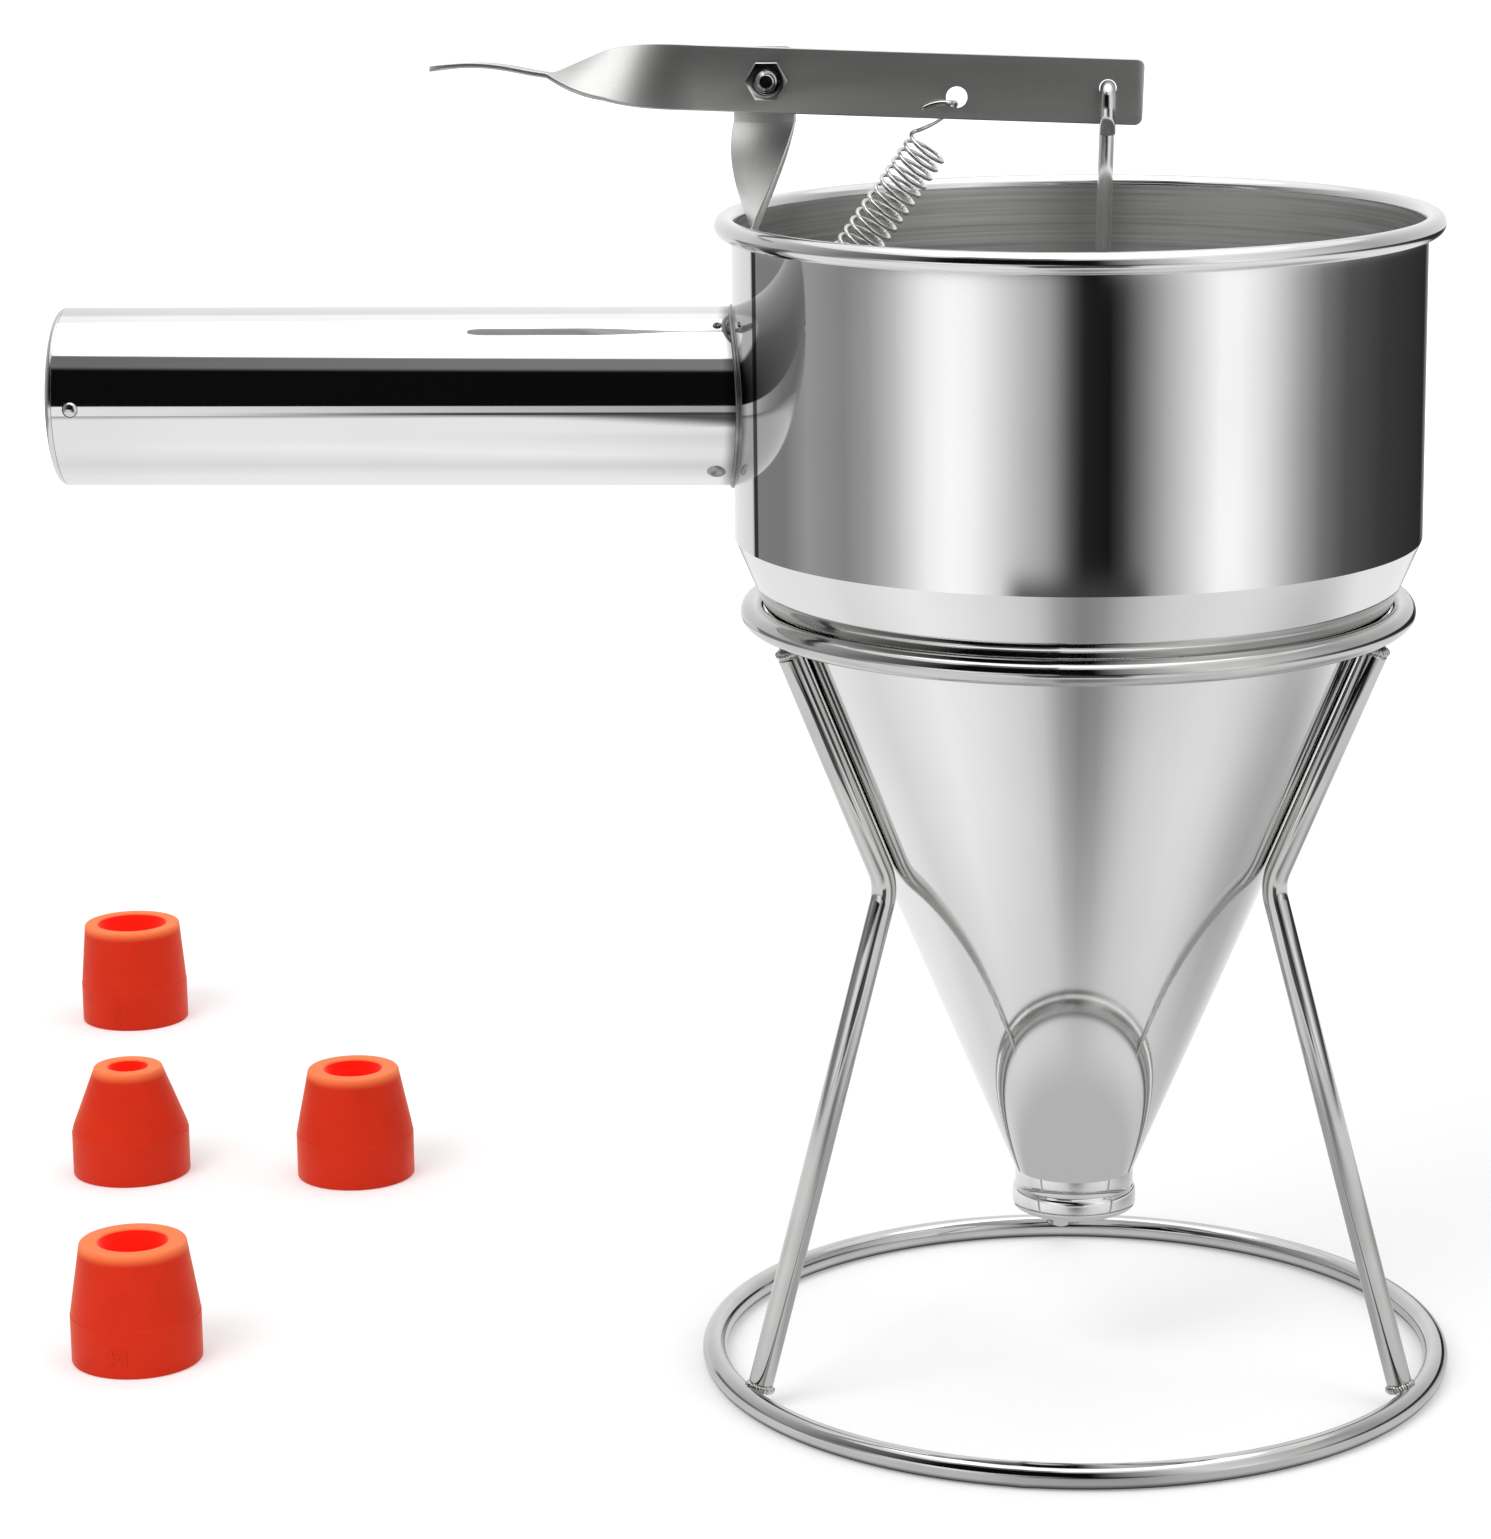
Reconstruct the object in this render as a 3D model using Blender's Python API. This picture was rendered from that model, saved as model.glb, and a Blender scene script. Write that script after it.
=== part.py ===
"""Pancake batter dispenser: a steel funnel with a thumb lever, on a three-legged wire stand,
and four loose silicone nozzles. Sizes are in metres, +Z is up, and the spout points down."""

import math

import bmesh
import bpy
from mathutils import Matrix, Vector

# Fits and overruns
SEAT_GAP = 0.0003
BOLT_CLEARANCE = 0.0003
CUTTER_OVERRUN = 0.004
MERGE_DISTANCE = 0.00001
SMOOTH_ANGLE = math.radians(35)

# Steps round a full turn
BOWL_STEPS = 72
RING_STEPS = 72
HANDLE_STEPS = 48
NOZZLE_STEPS = 40
WIRE_SIDES = 8
WIRE_RESOLUTION = 2
SPRING_RESOLUTION = 1
BEAD_STEPS = 12

# Bowl
SHEET = 0.0008
BOWL_RADIUS = 0.065
CONE_TOP_HEIGHT = 0.165
WALL_HEIGHT = 0.061
RIM_BEAD_RADIUS = 0.002

# Outlet neck
NECK_RADIUS = 0.0115
NECK_TOP_HEIGHT = 0.039
NECK_LENGTH = 0.008
NECK_BEAD_BULGE = 0.00055
NECK_BEAD_HALF_HEIGHT = 0.002
NECK_LIP = 0.0004

# Handle
HANDLE_RADIUS = 0.017
HANDLE_WALL = 0.001
HANDLE_ABOVE_CONE = 0.0261
HANDLE_LENGTH = 0.129
END_CAP_THICKNESS = 0.0015
END_CAP_EDGE_RADIUS = 0.001
END_CAP_LIP_LENGTH = 0.001
VENT_RADIUS = 0.0015
VENT_FROM_END = 0.005

# Lever post
POST_WIDTH = 0.0116
POST_THICKNESS = 0.0015
POST_FOOT_LENGTH = 0.024
POST_LEAN_LENGTH = 0.008
POST_LEAN = 0.002
POST_TWIST_BELOW_RIM = 0.004
POST_TWIST_LENGTH = 0.021
POST_TWIST_TO_PIVOT = 0.0077
POST_ABOVE_PIVOT = 0.0061
POST_LEFT_OF_PIVOT = 0.0007
POST_CORNER_RADIUS = 0.0015
POST_TWIST_STATIONS = 12

# Pivot
PIVOT_INSIDE_WALL = 0.0072
BOLT_RADIUS = 0.002
BOLT_HEAD_RADIUS = 0.0036
BOLT_HEAD_THICKNESS = 0.0028
BOLT_PROUD = 0.0008
BOLT_CHAMFER = 0.0004
BOLT_STEPS = 24
NUT_ACROSS_FLATS = 0.007
NUT_THICKNESS = 0.0032
NUT_SIDES = 6
WASHER_RADIUS = 0.0045
WASHER_THICKNESS = 0.0005

# Thumb lever
LEVER_WIDTH = 0.0122
LEVER_THICKNESS = 0.001
LEVER_TILT = math.radians(2.2)
LEVER_PAST_ROD = 0.0066
LEVER_TIP_RADIUS = 0.0015
LEVER_TWIST_START = 0.0131
LEVER_TWIST_LENGTH = 0.0276
LEVER_TWIST_TURN = math.radians(94)
LEVER_TWIST_EASE = 1.5
LEVER_TWIST_STATIONS = 16
THUMB_LENGTH = 0.0224
THUMB_CORNER_RADIUS = 0.004
THUMB_CROWN = 0.001
THUMB_CROWN_AFTER_TWIST = 0.0036
THUMB_DIP = 0.0006
THUMB_DIP_LENGTH = 0.0141
THUMB_STATIONS = 8
CORNER_STATIONS = 4
ROD_HOLE_PAST_AXIS = 0.0054
ROD_HOLE_ABOVE_CENTRE = 0.0006
ROD_HOLE_RADIUS = 0.0019
SPRING_HOLE_REACH = 0.0353
SPRING_HOLE_BELOW_CENTRE = 0.002
SPRING_HOLE_RADIUS = 0.002

# Spring and its anchor
SPRING_WIRE_RADIUS = 0.0004
SPRING_COIL_RADIUS = 0.00385
SPRING_TURNS = 18
SPRING_POINTS_PER_TURN = 10
SPRING_COIL_LEAN_LEFT = 0.0027
SPRING_COIL_LEAN_FRONT = 0.0028
SPRING_LOOP_RADIUS = 0.0034
SPRING_LOOP_STATIONS = 8
SPRING_FREE_END_ANGLE = math.radians(115)
SPRING_HOOK_BEND_START = 0.0004
SPRING_HOOK_BEND_RADIUS = 0.0012
SPRING_HOOK_CURL_RADIUS = 0.0075
SPRING_HOOK_CURL_ANGLE = math.radians(35)
SPRING_HOOK_STATIONS = 4
SPRING_LEAST_GAP = 0.0004
ANCHOR_WIRE_RADIUS = 0.001
ANCHOR_BEND_RADIUS = 0.003
ANCHOR_REACH = 0.0028
ANCHOR_BELOW_RIM = 0.0199
ANCHOR_STATIONS = 8

# Stopper rod and stopper
ROD_RADIUS = 0.00145
ROD_HOOK_DROP = 0.0085
ROD_HOOK_STATIONS = 8
STOPPER_LENGTH = 0.007
STOPPER_ABOVE_NECK = 0.001
STOPPER_FLOOR = 0.0015
STOPPER_NOSE_LENGTH = 0.003
STOPPER_NOSE_CLEARANCE = 0.0015
ROD_UPRIGHT_LENGTH = 0.002

# Stand
WIRE_RADIUS = 0.0024
BASE_RING_OUTSIDE_BOWL = 0.0059
TOP_RING_INSIDE_BOWL = 0.0033
LEG_WAIST_BELOW_RING = 0.0503
LEG_FOOT_INSET = 0.0026
LEG_BEND_RADIUS = 0.010
LEG_BEND_STATIONS = 8
LEG_ANGLES = {
    "stand_leg_left": math.radians(-62),
    "stand_leg_right": math.radians(67),
    "stand_leg_back": math.radians(182.5),
}

# Nozzles: bore, outer diameter of the mouth, and place from the funnel's axis
NOZZLE_WALL = 0.0018
NOZZLE_GRIP = 0.0003
NOZZLE_STRAIGHT_LENGTH = 0.010
NOZZLE_LENGTH = 0.0245
NOZZLE_EDGE_RADIUS = 0.0005
NOZZLE_EDGE_STATIONS = 2
NOZZLE_MOUTH_LAND = 0.002
NOZZLES = {
    "nozzle_17mm": {"bore": 0.017, "mouth": 0.0234, "place": (-0.235, 0.230)},
    "nozzle_9mm": {"bore": 0.009, "mouth": 0.0154, "place": (-0.2109, 0.108)},
    "nozzle_13mm": {"bore": 0.013, "mouth": 0.0202, "place": (-0.1602, 0.108)},
    "nozzle_14mm": {"bore": 0.014, "mouth": 0.0214, "place": (-0.1856, -0.010)},
}

# Finishes
FINISHES = {
    "polished": {"colour": (0.80, 0.80, 0.79), "roughness": 0.08, "metallic": 1},
    "brushed": {"colour": (0.62, 0.61, 0.59), "roughness": 0.32, "metallic": 1},
    "chromed": {"colour": (0.84, 0.84, 0.84), "roughness": 0.12, "metallic": 1},
    "plated": {"colour": (0.70, 0.70, 0.68), "roughness": 0.25, "metallic": 1},
    "silicone": {"colour": (0.72, 0.045, 0.018), "roughness": 0.42, "metallic": 0},
}

# Worked-out places, from the funnel's axis
RIM_HEIGHT = CONE_TOP_HEIGHT + WALL_HEIGHT
HANDLE_HEIGHT = CONE_TOP_HEIGHT + HANDLE_ABOVE_CONE
HANDLE_REACH = BOWL_RADIUS + HANDLE_LENGTH
POST_TWIST_START_HEIGHT = RIM_HEIGHT - POST_TWIST_BELOW_RIM
POST_LEAN_START_HEIGHT = POST_TWIST_START_HEIGHT - POST_LEAN_LENGTH
POST_FOOT_HEIGHT = POST_LEAN_START_HEIGHT - POST_FOOT_LENGTH
POST_TWIST_END_HEIGHT = POST_TWIST_START_HEIGHT + POST_TWIST_LENGTH
PIVOT_HEIGHT = POST_TWIST_END_HEIGHT + POST_TWIST_TO_PIVOT
PIVOT_FROM_AXIS = BOWL_RADIUS - PIVOT_INSIDE_WALL
ROD_HOLE_REACH = PIVOT_FROM_AXIS + ROD_HOLE_PAST_AXIS
LEVER_TO_TIP = ROD_HOLE_REACH + LEVER_PAST_ROD
THUMB_REACH = LEVER_TWIST_START + LEVER_TWIST_LENGTH + THUMB_LENGTH
ANCHOR_HEIGHT = RIM_HEIGHT - ANCHOR_BELOW_RIM
BASE_RING_RADIUS = BOWL_RADIUS + BASE_RING_OUTSIDE_BOWL
TOP_RING_RADIUS = BOWL_RADIUS - TOP_RING_INSIDE_BOWL
STOPPER_NOSE_RADIUS = NECK_RADIUS - SHEET - STOPPER_NOSE_CLEARANCE
NOZZLE_INNER_RADIUS = NECK_RADIUS - NOZZLE_GRIP
NOZZLE_BASE_RADIUS = NOZZLE_INNER_RADIUS + NOZZLE_WALL
NECK_BOTTOM_HEIGHT = NECK_TOP_HEIGHT - NECK_LENGTH
CONE_BOTTOM_HEIGHT = NECK_TOP_HEIGHT + SEAT_GAP
CONE_EDGE_HEIGHT = CONE_TOP_HEIGHT - SEAT_GAP
CONE_SLOPE = (BOWL_RADIUS - NECK_RADIUS) / (CONE_EDGE_HEIGHT - CONE_BOTTOM_HEIGHT)
CONE_ANGLE = math.atan(CONE_SLOPE)
LEVER_Y = -(POST_THICKNESS / 2 + SEAT_GAP + WASHER_THICKNESS + SEAT_GAP + LEVER_THICKNESS / 2)
LEVER_RIGHT = Vector((math.cos(LEVER_TILT), 0, -math.sin(LEVER_TILT)))
LEVER_UP = Vector((math.sin(LEVER_TILT), 0, math.cos(LEVER_TILT)))
PIVOT = Vector((-PIVOT_FROM_AXIS, LEVER_Y, PIVOT_HEIGHT))
ROD_HOLE = PIVOT + ROD_HOLE_REACH * LEVER_RIGHT + ROD_HOLE_ABOVE_CENTRE * LEVER_UP
SPRING_HOLE = PIVOT + SPRING_HOLE_REACH * LEVER_RIGHT - SPRING_HOLE_BELOW_CENTRE * LEVER_UP
STOPPER_BOTTOM_HEIGHT = CONE_BOTTOM_HEIGHT + STOPPER_ABOVE_NECK

# The origin is the middle of the floor under everything, nozzles included
STAND_REACH = BASE_RING_RADIUS + WIRE_RADIUS
LEFT_EDGE = min(nozzle["place"][0] for nozzle in NOZZLES.values()) - NOZZLE_BASE_RADIUS
BACK_EDGE = max(nozzle["place"][1] for nozzle in NOZZLES.values()) + NOZZLE_BASE_RADIUS
PLACE = Vector((-(LEFT_EDGE + STAND_REACH) / 2, -(BACK_EDGE - STAND_REACH) / 2, 0))


def clear_scene():
    """Remove what the startup file holds."""
    for obj in list(bpy.data.objects):
        bpy.data.objects.remove(obj, do_unlink=True)


def make_material(name, colour, roughness, metallic):
    """A Principled material."""
    material = bpy.data.materials.new(name)
    material.use_nodes = True
    shader = material.node_tree.nodes["Principled BSDF"]
    shader.inputs["Base Color"].default_value = (*colour, 1)
    shader.inputs["Roughness"].default_value = roughness
    shader.inputs["Metallic"].default_value = metallic
    material.diffuse_color = (*colour, 1)
    return material


def finish(kind, name):
    """One of the finishes above, as a material of its own."""
    return make_material(name, **FINISHES[kind])


def make_empty(name, parent, place):
    """An axis that moving pieces hang from."""
    empty = bpy.data.objects.new(name, None)
    bpy.context.scene.collection.objects.link(empty)
    empty.parent = parent
    empty.location = place
    return empty


def add_object(name, data, material, parent, place):
    """Link an object made from a mesh or a curve."""
    obj = bpy.data.objects.new(name, data)
    bpy.context.scene.collection.objects.link(obj)
    obj.parent = parent
    obj.location = place
    if material is not None:
        data.materials.append(material)
    return obj


def smooth(obj):
    """Smooth faces, with sharp edges kept."""
    obj.data.shade_smooth()
    obj.data.set_sharp_from_angle(angle=SMOOTH_ANGLE)


def revolve(name, profile, steps, material, parent, place, closed=True):
    """A solid of revolution from (radius, height) points that run down the outer side."""
    mesh = bpy.data.meshes.new(name)
    count = len(profile)
    edges = [(i, (i + 1) % count) for i in range(count if closed else count - 1)]
    mesh.from_pydata([(radius, 0, height) for radius, height in profile], edges, [])
    obj = add_object(name, mesh, material, parent, place)
    screw = obj.modifiers.new("Revolve", "SCREW")
    screw.steps = steps
    screw.render_steps = steps
    screw.use_merge_vertices = True
    screw.merge_threshold = MERGE_DISTANCE
    screw.use_smooth_shade = True
    return obj


def arc(centre, radius, start, end, stations):
    """Points on a flat arc, both ends included."""
    turns = [start + (end - start) * i / stations for i in range(stations + 1)]
    return [(centre[0] + radius * math.cos(t), centre[1] + radius * math.sin(t)) for t in turns]


def wire(name, points, radius, resolution, material, parent, place):
    """A round wire along points that are given from the parent's origin."""
    curve = bpy.data.curves.new(name, "CURVE")
    curve.dimensions = "3D"
    curve.twist_mode = "MINIMUM"
    curve.bevel_depth = radius
    curve.bevel_resolution = resolution
    curve.use_fill_caps = True
    spline = curve.splines.new("POLY")
    spline.points.add(len(points) - 1)
    for point, place_of_point in zip(spline.points, points):
        point.co = (*(Vector(place_of_point) - place), 1)
    return add_object(name, curve, material, parent, place)


def strip(name, stations, material, parent, place):
    """A flat strip through stations, each a centre, a half width and a half thickness."""
    shape = bmesh.new()
    loops = []
    for centre, half_width, half_thickness in stations:
        middle = centre - place
        corners = (
            middle + half_width + half_thickness,
            middle - half_width + half_thickness,
            middle - half_width - half_thickness,
            middle + half_width - half_thickness,
        )
        loops.append([shape.verts.new(corner) for corner in corners])
    for first, second in zip(loops, loops[1:]):
        for i in range(len(first)):
            j = (i + 1) % len(first)
            shape.faces.new((first[i], first[j], second[j], second[i]))
    shape.faces.new(loops[0])
    shape.faces.new(loops[-1])
    bmesh.ops.recalc_face_normals(shape, faces=shape.faces)
    mesh = bpy.data.meshes.new(name)
    shape.to_mesh(mesh)
    shape.free()
    obj = add_object(name, mesh, material, parent, place)
    smooth(obj)
    return obj


def cylinder_mesh(name, radius, length, sides, turn):
    """A cylinder about its own middle, turned from Z by a matrix."""
    shape = bmesh.new()
    bmesh.ops.create_cone(
        shape,
        cap_ends=True,
        segments=sides,
        radius1=radius,
        radius2=radius,
        depth=length,
        matrix=turn,
    )
    mesh = bpy.data.meshes.new(name)
    shape.to_mesh(mesh)
    shape.free()
    return mesh


ALONG_X = Matrix.Rotation(math.radians(90), 4, "Y")
ALONG_Y = Matrix.Rotation(math.radians(90), 4, "X")


def cut(obj, cutter):
    """Take a hidden cutter away from an object."""
    cutter.hide_render = True
    cutter.display_type = "WIRE"
    boolean = obj.modifiers.new(cutter.name, "BOOLEAN")
    boolean.operation = "DIFFERENCE"
    boolean.solver = "EXACT"
    boolean.object = cutter


def drill(obj, name, radius, through, parent, place):
    """Cut a round hole along Y."""
    mesh = cylinder_mesh(name, radius, through + 2 * CUTTER_OVERRUN, BOLT_STEPS, ALONG_Y)
    cut(obj, add_object(name, mesh, None, parent, place))


def make_bowl_wall(parent):
    inner = BOWL_RADIUS - SHEET
    bead = (inner + RIM_BEAD_RADIUS, RIM_HEIGHT - RIM_BEAD_RADIUS)
    wall_meets_bead = -math.acos((BOWL_RADIUS - bead[0]) / RIM_BEAD_RADIUS)
    profile = arc(bead, RIM_BEAD_RADIUS, math.pi, wall_meets_bead, BEAD_STEPS)
    profile += [(BOWL_RADIUS, CONE_TOP_HEIGHT), (inner, CONE_TOP_HEIGHT)]
    revolve("bowl_wall", profile, BOWL_STEPS, finish("polished", "bowl_steel"), parent, (0, 0, 0))


def make_funnel_cone(parent):
    profile = [
        (BOWL_RADIUS, CONE_EDGE_HEIGHT),
        (NECK_RADIUS, CONE_BOTTOM_HEIGHT),
        (NECK_RADIUS - SHEET, CONE_BOTTOM_HEIGHT),
        (BOWL_RADIUS - SHEET, CONE_EDGE_HEIGHT),
    ]
    revolve("funnel_cone", profile, BOWL_STEPS, finish("polished", "cone_steel"), parent, (0, 0, 0))


def make_outlet_neck(parent):
    bead_height = NECK_BOTTOM_HEIGHT + NECK_LIP + NECK_BEAD_HALF_HEIGHT
    turns = [math.pi * (i / BEAD_STEPS - 1 / 2) for i in range(BEAD_STEPS + 1)]
    profile = [(NECK_RADIUS, NECK_TOP_HEIGHT)]
    for turn in turns:
        height = bead_height - NECK_BEAD_HALF_HEIGHT * math.sin(turn)
        profile.append((NECK_RADIUS + NECK_BEAD_BULGE * math.cos(turn), height))
    profile += [
        (NECK_RADIUS - NECK_LIP, NECK_BOTTOM_HEIGHT),
        (NECK_RADIUS - SHEET, NECK_BOTTOM_HEIGHT),
        (NECK_RADIUS - SHEET, NECK_TOP_HEIGHT),
    ]
    revolve("outlet_neck", profile, BOWL_STEPS, finish("polished", "neck_steel"), parent, (0, 0, 0))


def make_handle(parent):
    """The tube is cut to the bowl, and a disc with a short lip closes its free end."""
    tube_length = HANDLE_REACH - END_CAP_THICKNESS
    inner = HANDLE_RADIUS - HANDLE_WALL
    profile = [
        (HANDLE_RADIUS, tube_length),
        (HANDLE_RADIUS, BOWL_RADIUS - HANDLE_RADIUS),
        (inner, BOWL_RADIUS - HANDLE_RADIUS),
        (inner, tube_length),
    ]
    place = Vector((0, 0, HANDLE_HEIGHT))
    tube = revolve("handle_tube", profile, HANDLE_STEPS, finish("brushed", "handle_steel"), parent, place)
    tube.rotation_euler = (0, -math.pi / 2, 0)
    saddle = cylinder_mesh(
        "saddle_cutter",
        (BOWL_RADIUS + SEAT_GAP) / math.cos(math.pi / BOWL_STEPS),
        2 * HANDLE_RADIUS + 2 * CUTTER_OVERRUN,
        BOWL_STEPS,
        Matrix.Identity(4),
    )
    cut(tube, add_object("saddle_cutter", saddle, None, parent, place))
    vent_place = Vector((VENT_FROM_END - HANDLE_REACH, -HANDLE_RADIUS, HANDLE_HEIGHT))
    drill(tube, "vent_cutter", VENT_RADIUS, HANDLE_WALL, parent, vent_place)

    band = HANDLE_REACH - END_CAP_THICKNESS + SEAT_GAP
    lip_radius = inner - SEAT_GAP
    edge_centre = (HANDLE_RADIUS - END_CAP_EDGE_RADIUS, HANDLE_REACH - END_CAP_EDGE_RADIUS)
    edge = arc(edge_centre, END_CAP_EDGE_RADIUS, math.pi / 2, 0, CORNER_STATIONS)
    profile = [(0, HANDLE_REACH)] + edge + [
        (HANDLE_RADIUS, band),
        (lip_radius, band),
        (lip_radius, band - END_CAP_LIP_LENGTH),
        (0, band - END_CAP_LIP_LENGTH),
    ]
    steel = finish("brushed", "end_cap_steel")
    end_cap = revolve(
        "handle_end_cap", profile, HANDLE_STEPS, steel, parent, place, closed=False
    )
    end_cap.rotation_euler = (0, -math.pi / 2, 0)


def post_foot_x():
    """Where the post's middle lies when its back edges rest on the inside of the wall."""
    inner = BOWL_RADIUS - SHEET
    edge_x = math.sqrt(inner**2 - (POST_WIDTH / 2) ** 2)
    return -(edge_x - SEAT_GAP - POST_THICKNESS / 2)


def rounded_half_width(half_width, corner_radius, from_end):
    """Half the width of a strip with rounded corners, at a distance from its end."""
    if from_end >= corner_radius:
        return half_width
    rise = math.sqrt(corner_radius**2 - (corner_radius - from_end) ** 2)
    return half_width - corner_radius + rise


def corner_distances(corner_radius):
    """Distances from a strip's end at which its rounded corners are drawn."""
    turns = [math.pi / 2 * i / CORNER_STATIONS for i in range(CORNER_STATIONS + 1)]
    return [corner_radius * (1 - math.cos(turn)) for turn in turns]


def post_station(height, end_height):
    """One station of the post: flat on the wall at the foot, square to it at the pivot."""
    lean = (height - POST_LEAN_START_HEIGHT) / (POST_TWIST_START_HEIGHT - POST_LEAN_START_HEIGHT)
    foot_x = post_foot_x() + POST_LEAN * min(max(lean, 0), 1)
    twist = (height - POST_TWIST_START_HEIGHT) / (POST_TWIST_END_HEIGHT - POST_TWIST_START_HEIGHT)
    twist = min(max(twist, 0), 1)
    top_x = PIVOT.x - POST_LEFT_OF_PIVOT
    centre = Vector((foot_x + (top_x - foot_x) * twist**2, 0, height))
    turn = math.pi / 2 * twist
    across = Vector((-math.sin(turn), math.cos(turn), 0))
    through = Vector((math.cos(turn), math.sin(turn), 0))
    half_width = rounded_half_width(POST_WIDTH / 2, POST_CORNER_RADIUS, end_height - height)
    return centre, half_width * across, POST_THICKNESS / 2 * through


def make_lever_post(parent):
    top = PIVOT_HEIGHT + POST_ABOVE_PIVOT
    twist_length = POST_TWIST_END_HEIGHT - POST_TWIST_START_HEIGHT
    heights = [POST_FOOT_HEIGHT, POST_LEAN_START_HEIGHT]
    for i in range(POST_TWIST_STATIONS + 1):
        heights.append(POST_TWIST_START_HEIGHT + twist_length * i / POST_TWIST_STATIONS)
    heights += [top - distance for distance in reversed(corner_distances(POST_CORNER_RADIUS))]
    stations = [post_station(height, top) for height in heights]
    foot = Vector((post_foot_x(), 0, POST_FOOT_HEIGHT))
    post = strip("lever_post", stations, finish("brushed", "post_steel"), parent, foot)
    hole = Vector((PIVOT.x, 0, PIVOT.z))
    hole_radius = BOLT_RADIUS + BOLT_CLEARANCE
    drill(post, "post_hole_cutter", hole_radius, POST_THICKNESS, parent, hole)


def anchor_centre():
    """The middle of the anchor's bend, in front of the post's face."""
    face_x = post_foot_x() + POST_THICKNESS / 2 + SEAT_GAP
    return Vector((face_x + ANCHOR_REACH, LEVER_Y, ANCHOR_HEIGHT))


def make_spring_anchor(parent):
    """A wire eye on the post's face. Its two feet stop just short of the face."""
    centre = anchor_centre()
    face_x = centre.x - ANCHOR_REACH
    bend = arc(
        (centre.x, centre.z),
        ANCHOR_BEND_RADIUS,
        math.pi / 2,
        -math.pi / 2,
        ANCHOR_STATIONS,
    )
    route = [(face_x, bend[0][1])] + bend + [(face_x, bend[-1][1])]
    points = [(x, LEVER_Y, z) for x, z in route]
    steel = finish("plated", "anchor_steel")
    place = Vector((face_x, LEVER_Y, ANCHOR_HEIGHT))
    wire("spring_anchor", points, ANCHOR_WIRE_RADIUS, WIRE_RESOLUTION, steel, parent, place)


def make_pivot_bolt(parent):
    """The bolt's head is behind the post, and its end comes through the nut in front."""
    post_back = POST_THICKNESS / 2
    head_inner = -(post_back + SEAT_GAP)
    front = SEAT_GAP - LEVER_Y + LEVER_THICKNESS / 2 + NUT_THICKNESS + BOLT_PROUD
    profile = [
        (0, front),
        (BOLT_RADIUS - BOLT_CHAMFER, front),
        (BOLT_RADIUS, front - BOLT_CHAMFER),
        (BOLT_RADIUS, head_inner),
        (BOLT_HEAD_RADIUS, head_inner),
        (BOLT_HEAD_RADIUS, head_inner - BOLT_HEAD_THICKNESS + BOLT_CHAMFER),
        (BOLT_HEAD_RADIUS - BOLT_CHAMFER, head_inner - BOLT_HEAD_THICKNESS),
        (0, head_inner - BOLT_HEAD_THICKNESS),
    ]
    place = Vector((PIVOT.x, 0, PIVOT.z))
    steel = finish("plated", "bolt_steel")
    bolt = revolve("pivot_bolt", profile, BOLT_STEPS, steel, parent, place, closed=False)
    bolt.rotation_euler = (math.pi / 2, 0, 0)


def make_pivot_washer(parent):
    bore = BOLT_RADIUS + BOLT_CLEARANCE
    front = POST_THICKNESS / 2 + SEAT_GAP + WASHER_THICKNESS
    profile = [
        (WASHER_RADIUS, front),
        (WASHER_RADIUS, front - WASHER_THICKNESS),
        (bore, front - WASHER_THICKNESS),
        (bore, front),
    ]
    place = Vector((PIVOT.x, 0, PIVOT.z))
    washer = revolve("pivot_washer", profile, BOLT_STEPS, finish("plated", "washer_steel"), parent, place)
    washer.rotation_euler = (math.pi / 2, 0, 0)


def make_pivot_nut(parent):
    """A hexagon nut with two of its corners level with the bolt."""
    corner_radius = NUT_ACROSS_FLATS / 2 / math.cos(math.pi / NUT_SIDES)
    middle_y = LEVER_Y - LEVER_THICKNESS / 2 - SEAT_GAP - NUT_THICKNESS / 2
    level = Matrix.Rotation(math.pi / NUT_SIDES, 4, "Y")
    mesh = cylinder_mesh("pivot_nut", corner_radius, NUT_THICKNESS, NUT_SIDES, level @ ALONG_Y)
    place = Vector((PIVOT.x, middle_y, PIVOT.z))
    nut = add_object("pivot_nut", mesh, finish("plated", "nut_steel"), parent, place)
    drill(nut, "nut_bore_cutter", BOLT_RADIUS + BOLT_CLEARANCE, NUT_THICKNESS, parent, place)


def lever_station(along):
    """One station of the lever, at a distance to the right of the pivot."""
    left = -along
    twist = min(max((left - LEVER_TWIST_START) / LEVER_TWIST_LENGTH, 0), 1)
    turn = LEVER_TWIST_TURN * twist**LEVER_TWIST_EASE
    thumb_start = LEVER_TWIST_START + LEVER_TWIST_LENGTH
    crown_start = thumb_start + THUMB_CROWN_AFTER_TWIST
    bow = min(max((left - crown_start) / (THUMB_REACH - crown_start), 0), 1)
    dip = min(max((left - crown_start) / THUMB_DIP_LENGTH + 1, 0), 1)
    rise = THUMB_CROWN * math.sin(math.pi * bow) - THUMB_DIP * math.sin(math.pi * dip)
    across = math.cos(turn) * LEVER_UP + math.sin(turn) * Vector((0, 1, 0))
    through = math.cos(turn) * Vector((0, 1, 0)) - math.sin(turn) * LEVER_UP
    half_width = rounded_half_width(LEVER_WIDTH / 2, LEVER_TIP_RADIUS, LEVER_TO_TIP - along)
    if left > thumb_start:
        half_width = rounded_half_width(LEVER_WIDTH / 2, THUMB_CORNER_RADIUS, THUMB_REACH - left)
    centre = PIVOT + along * LEVER_RIGHT + rise * LEVER_UP
    return centre, half_width * across, LEVER_THICKNESS / 2 * through


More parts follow.
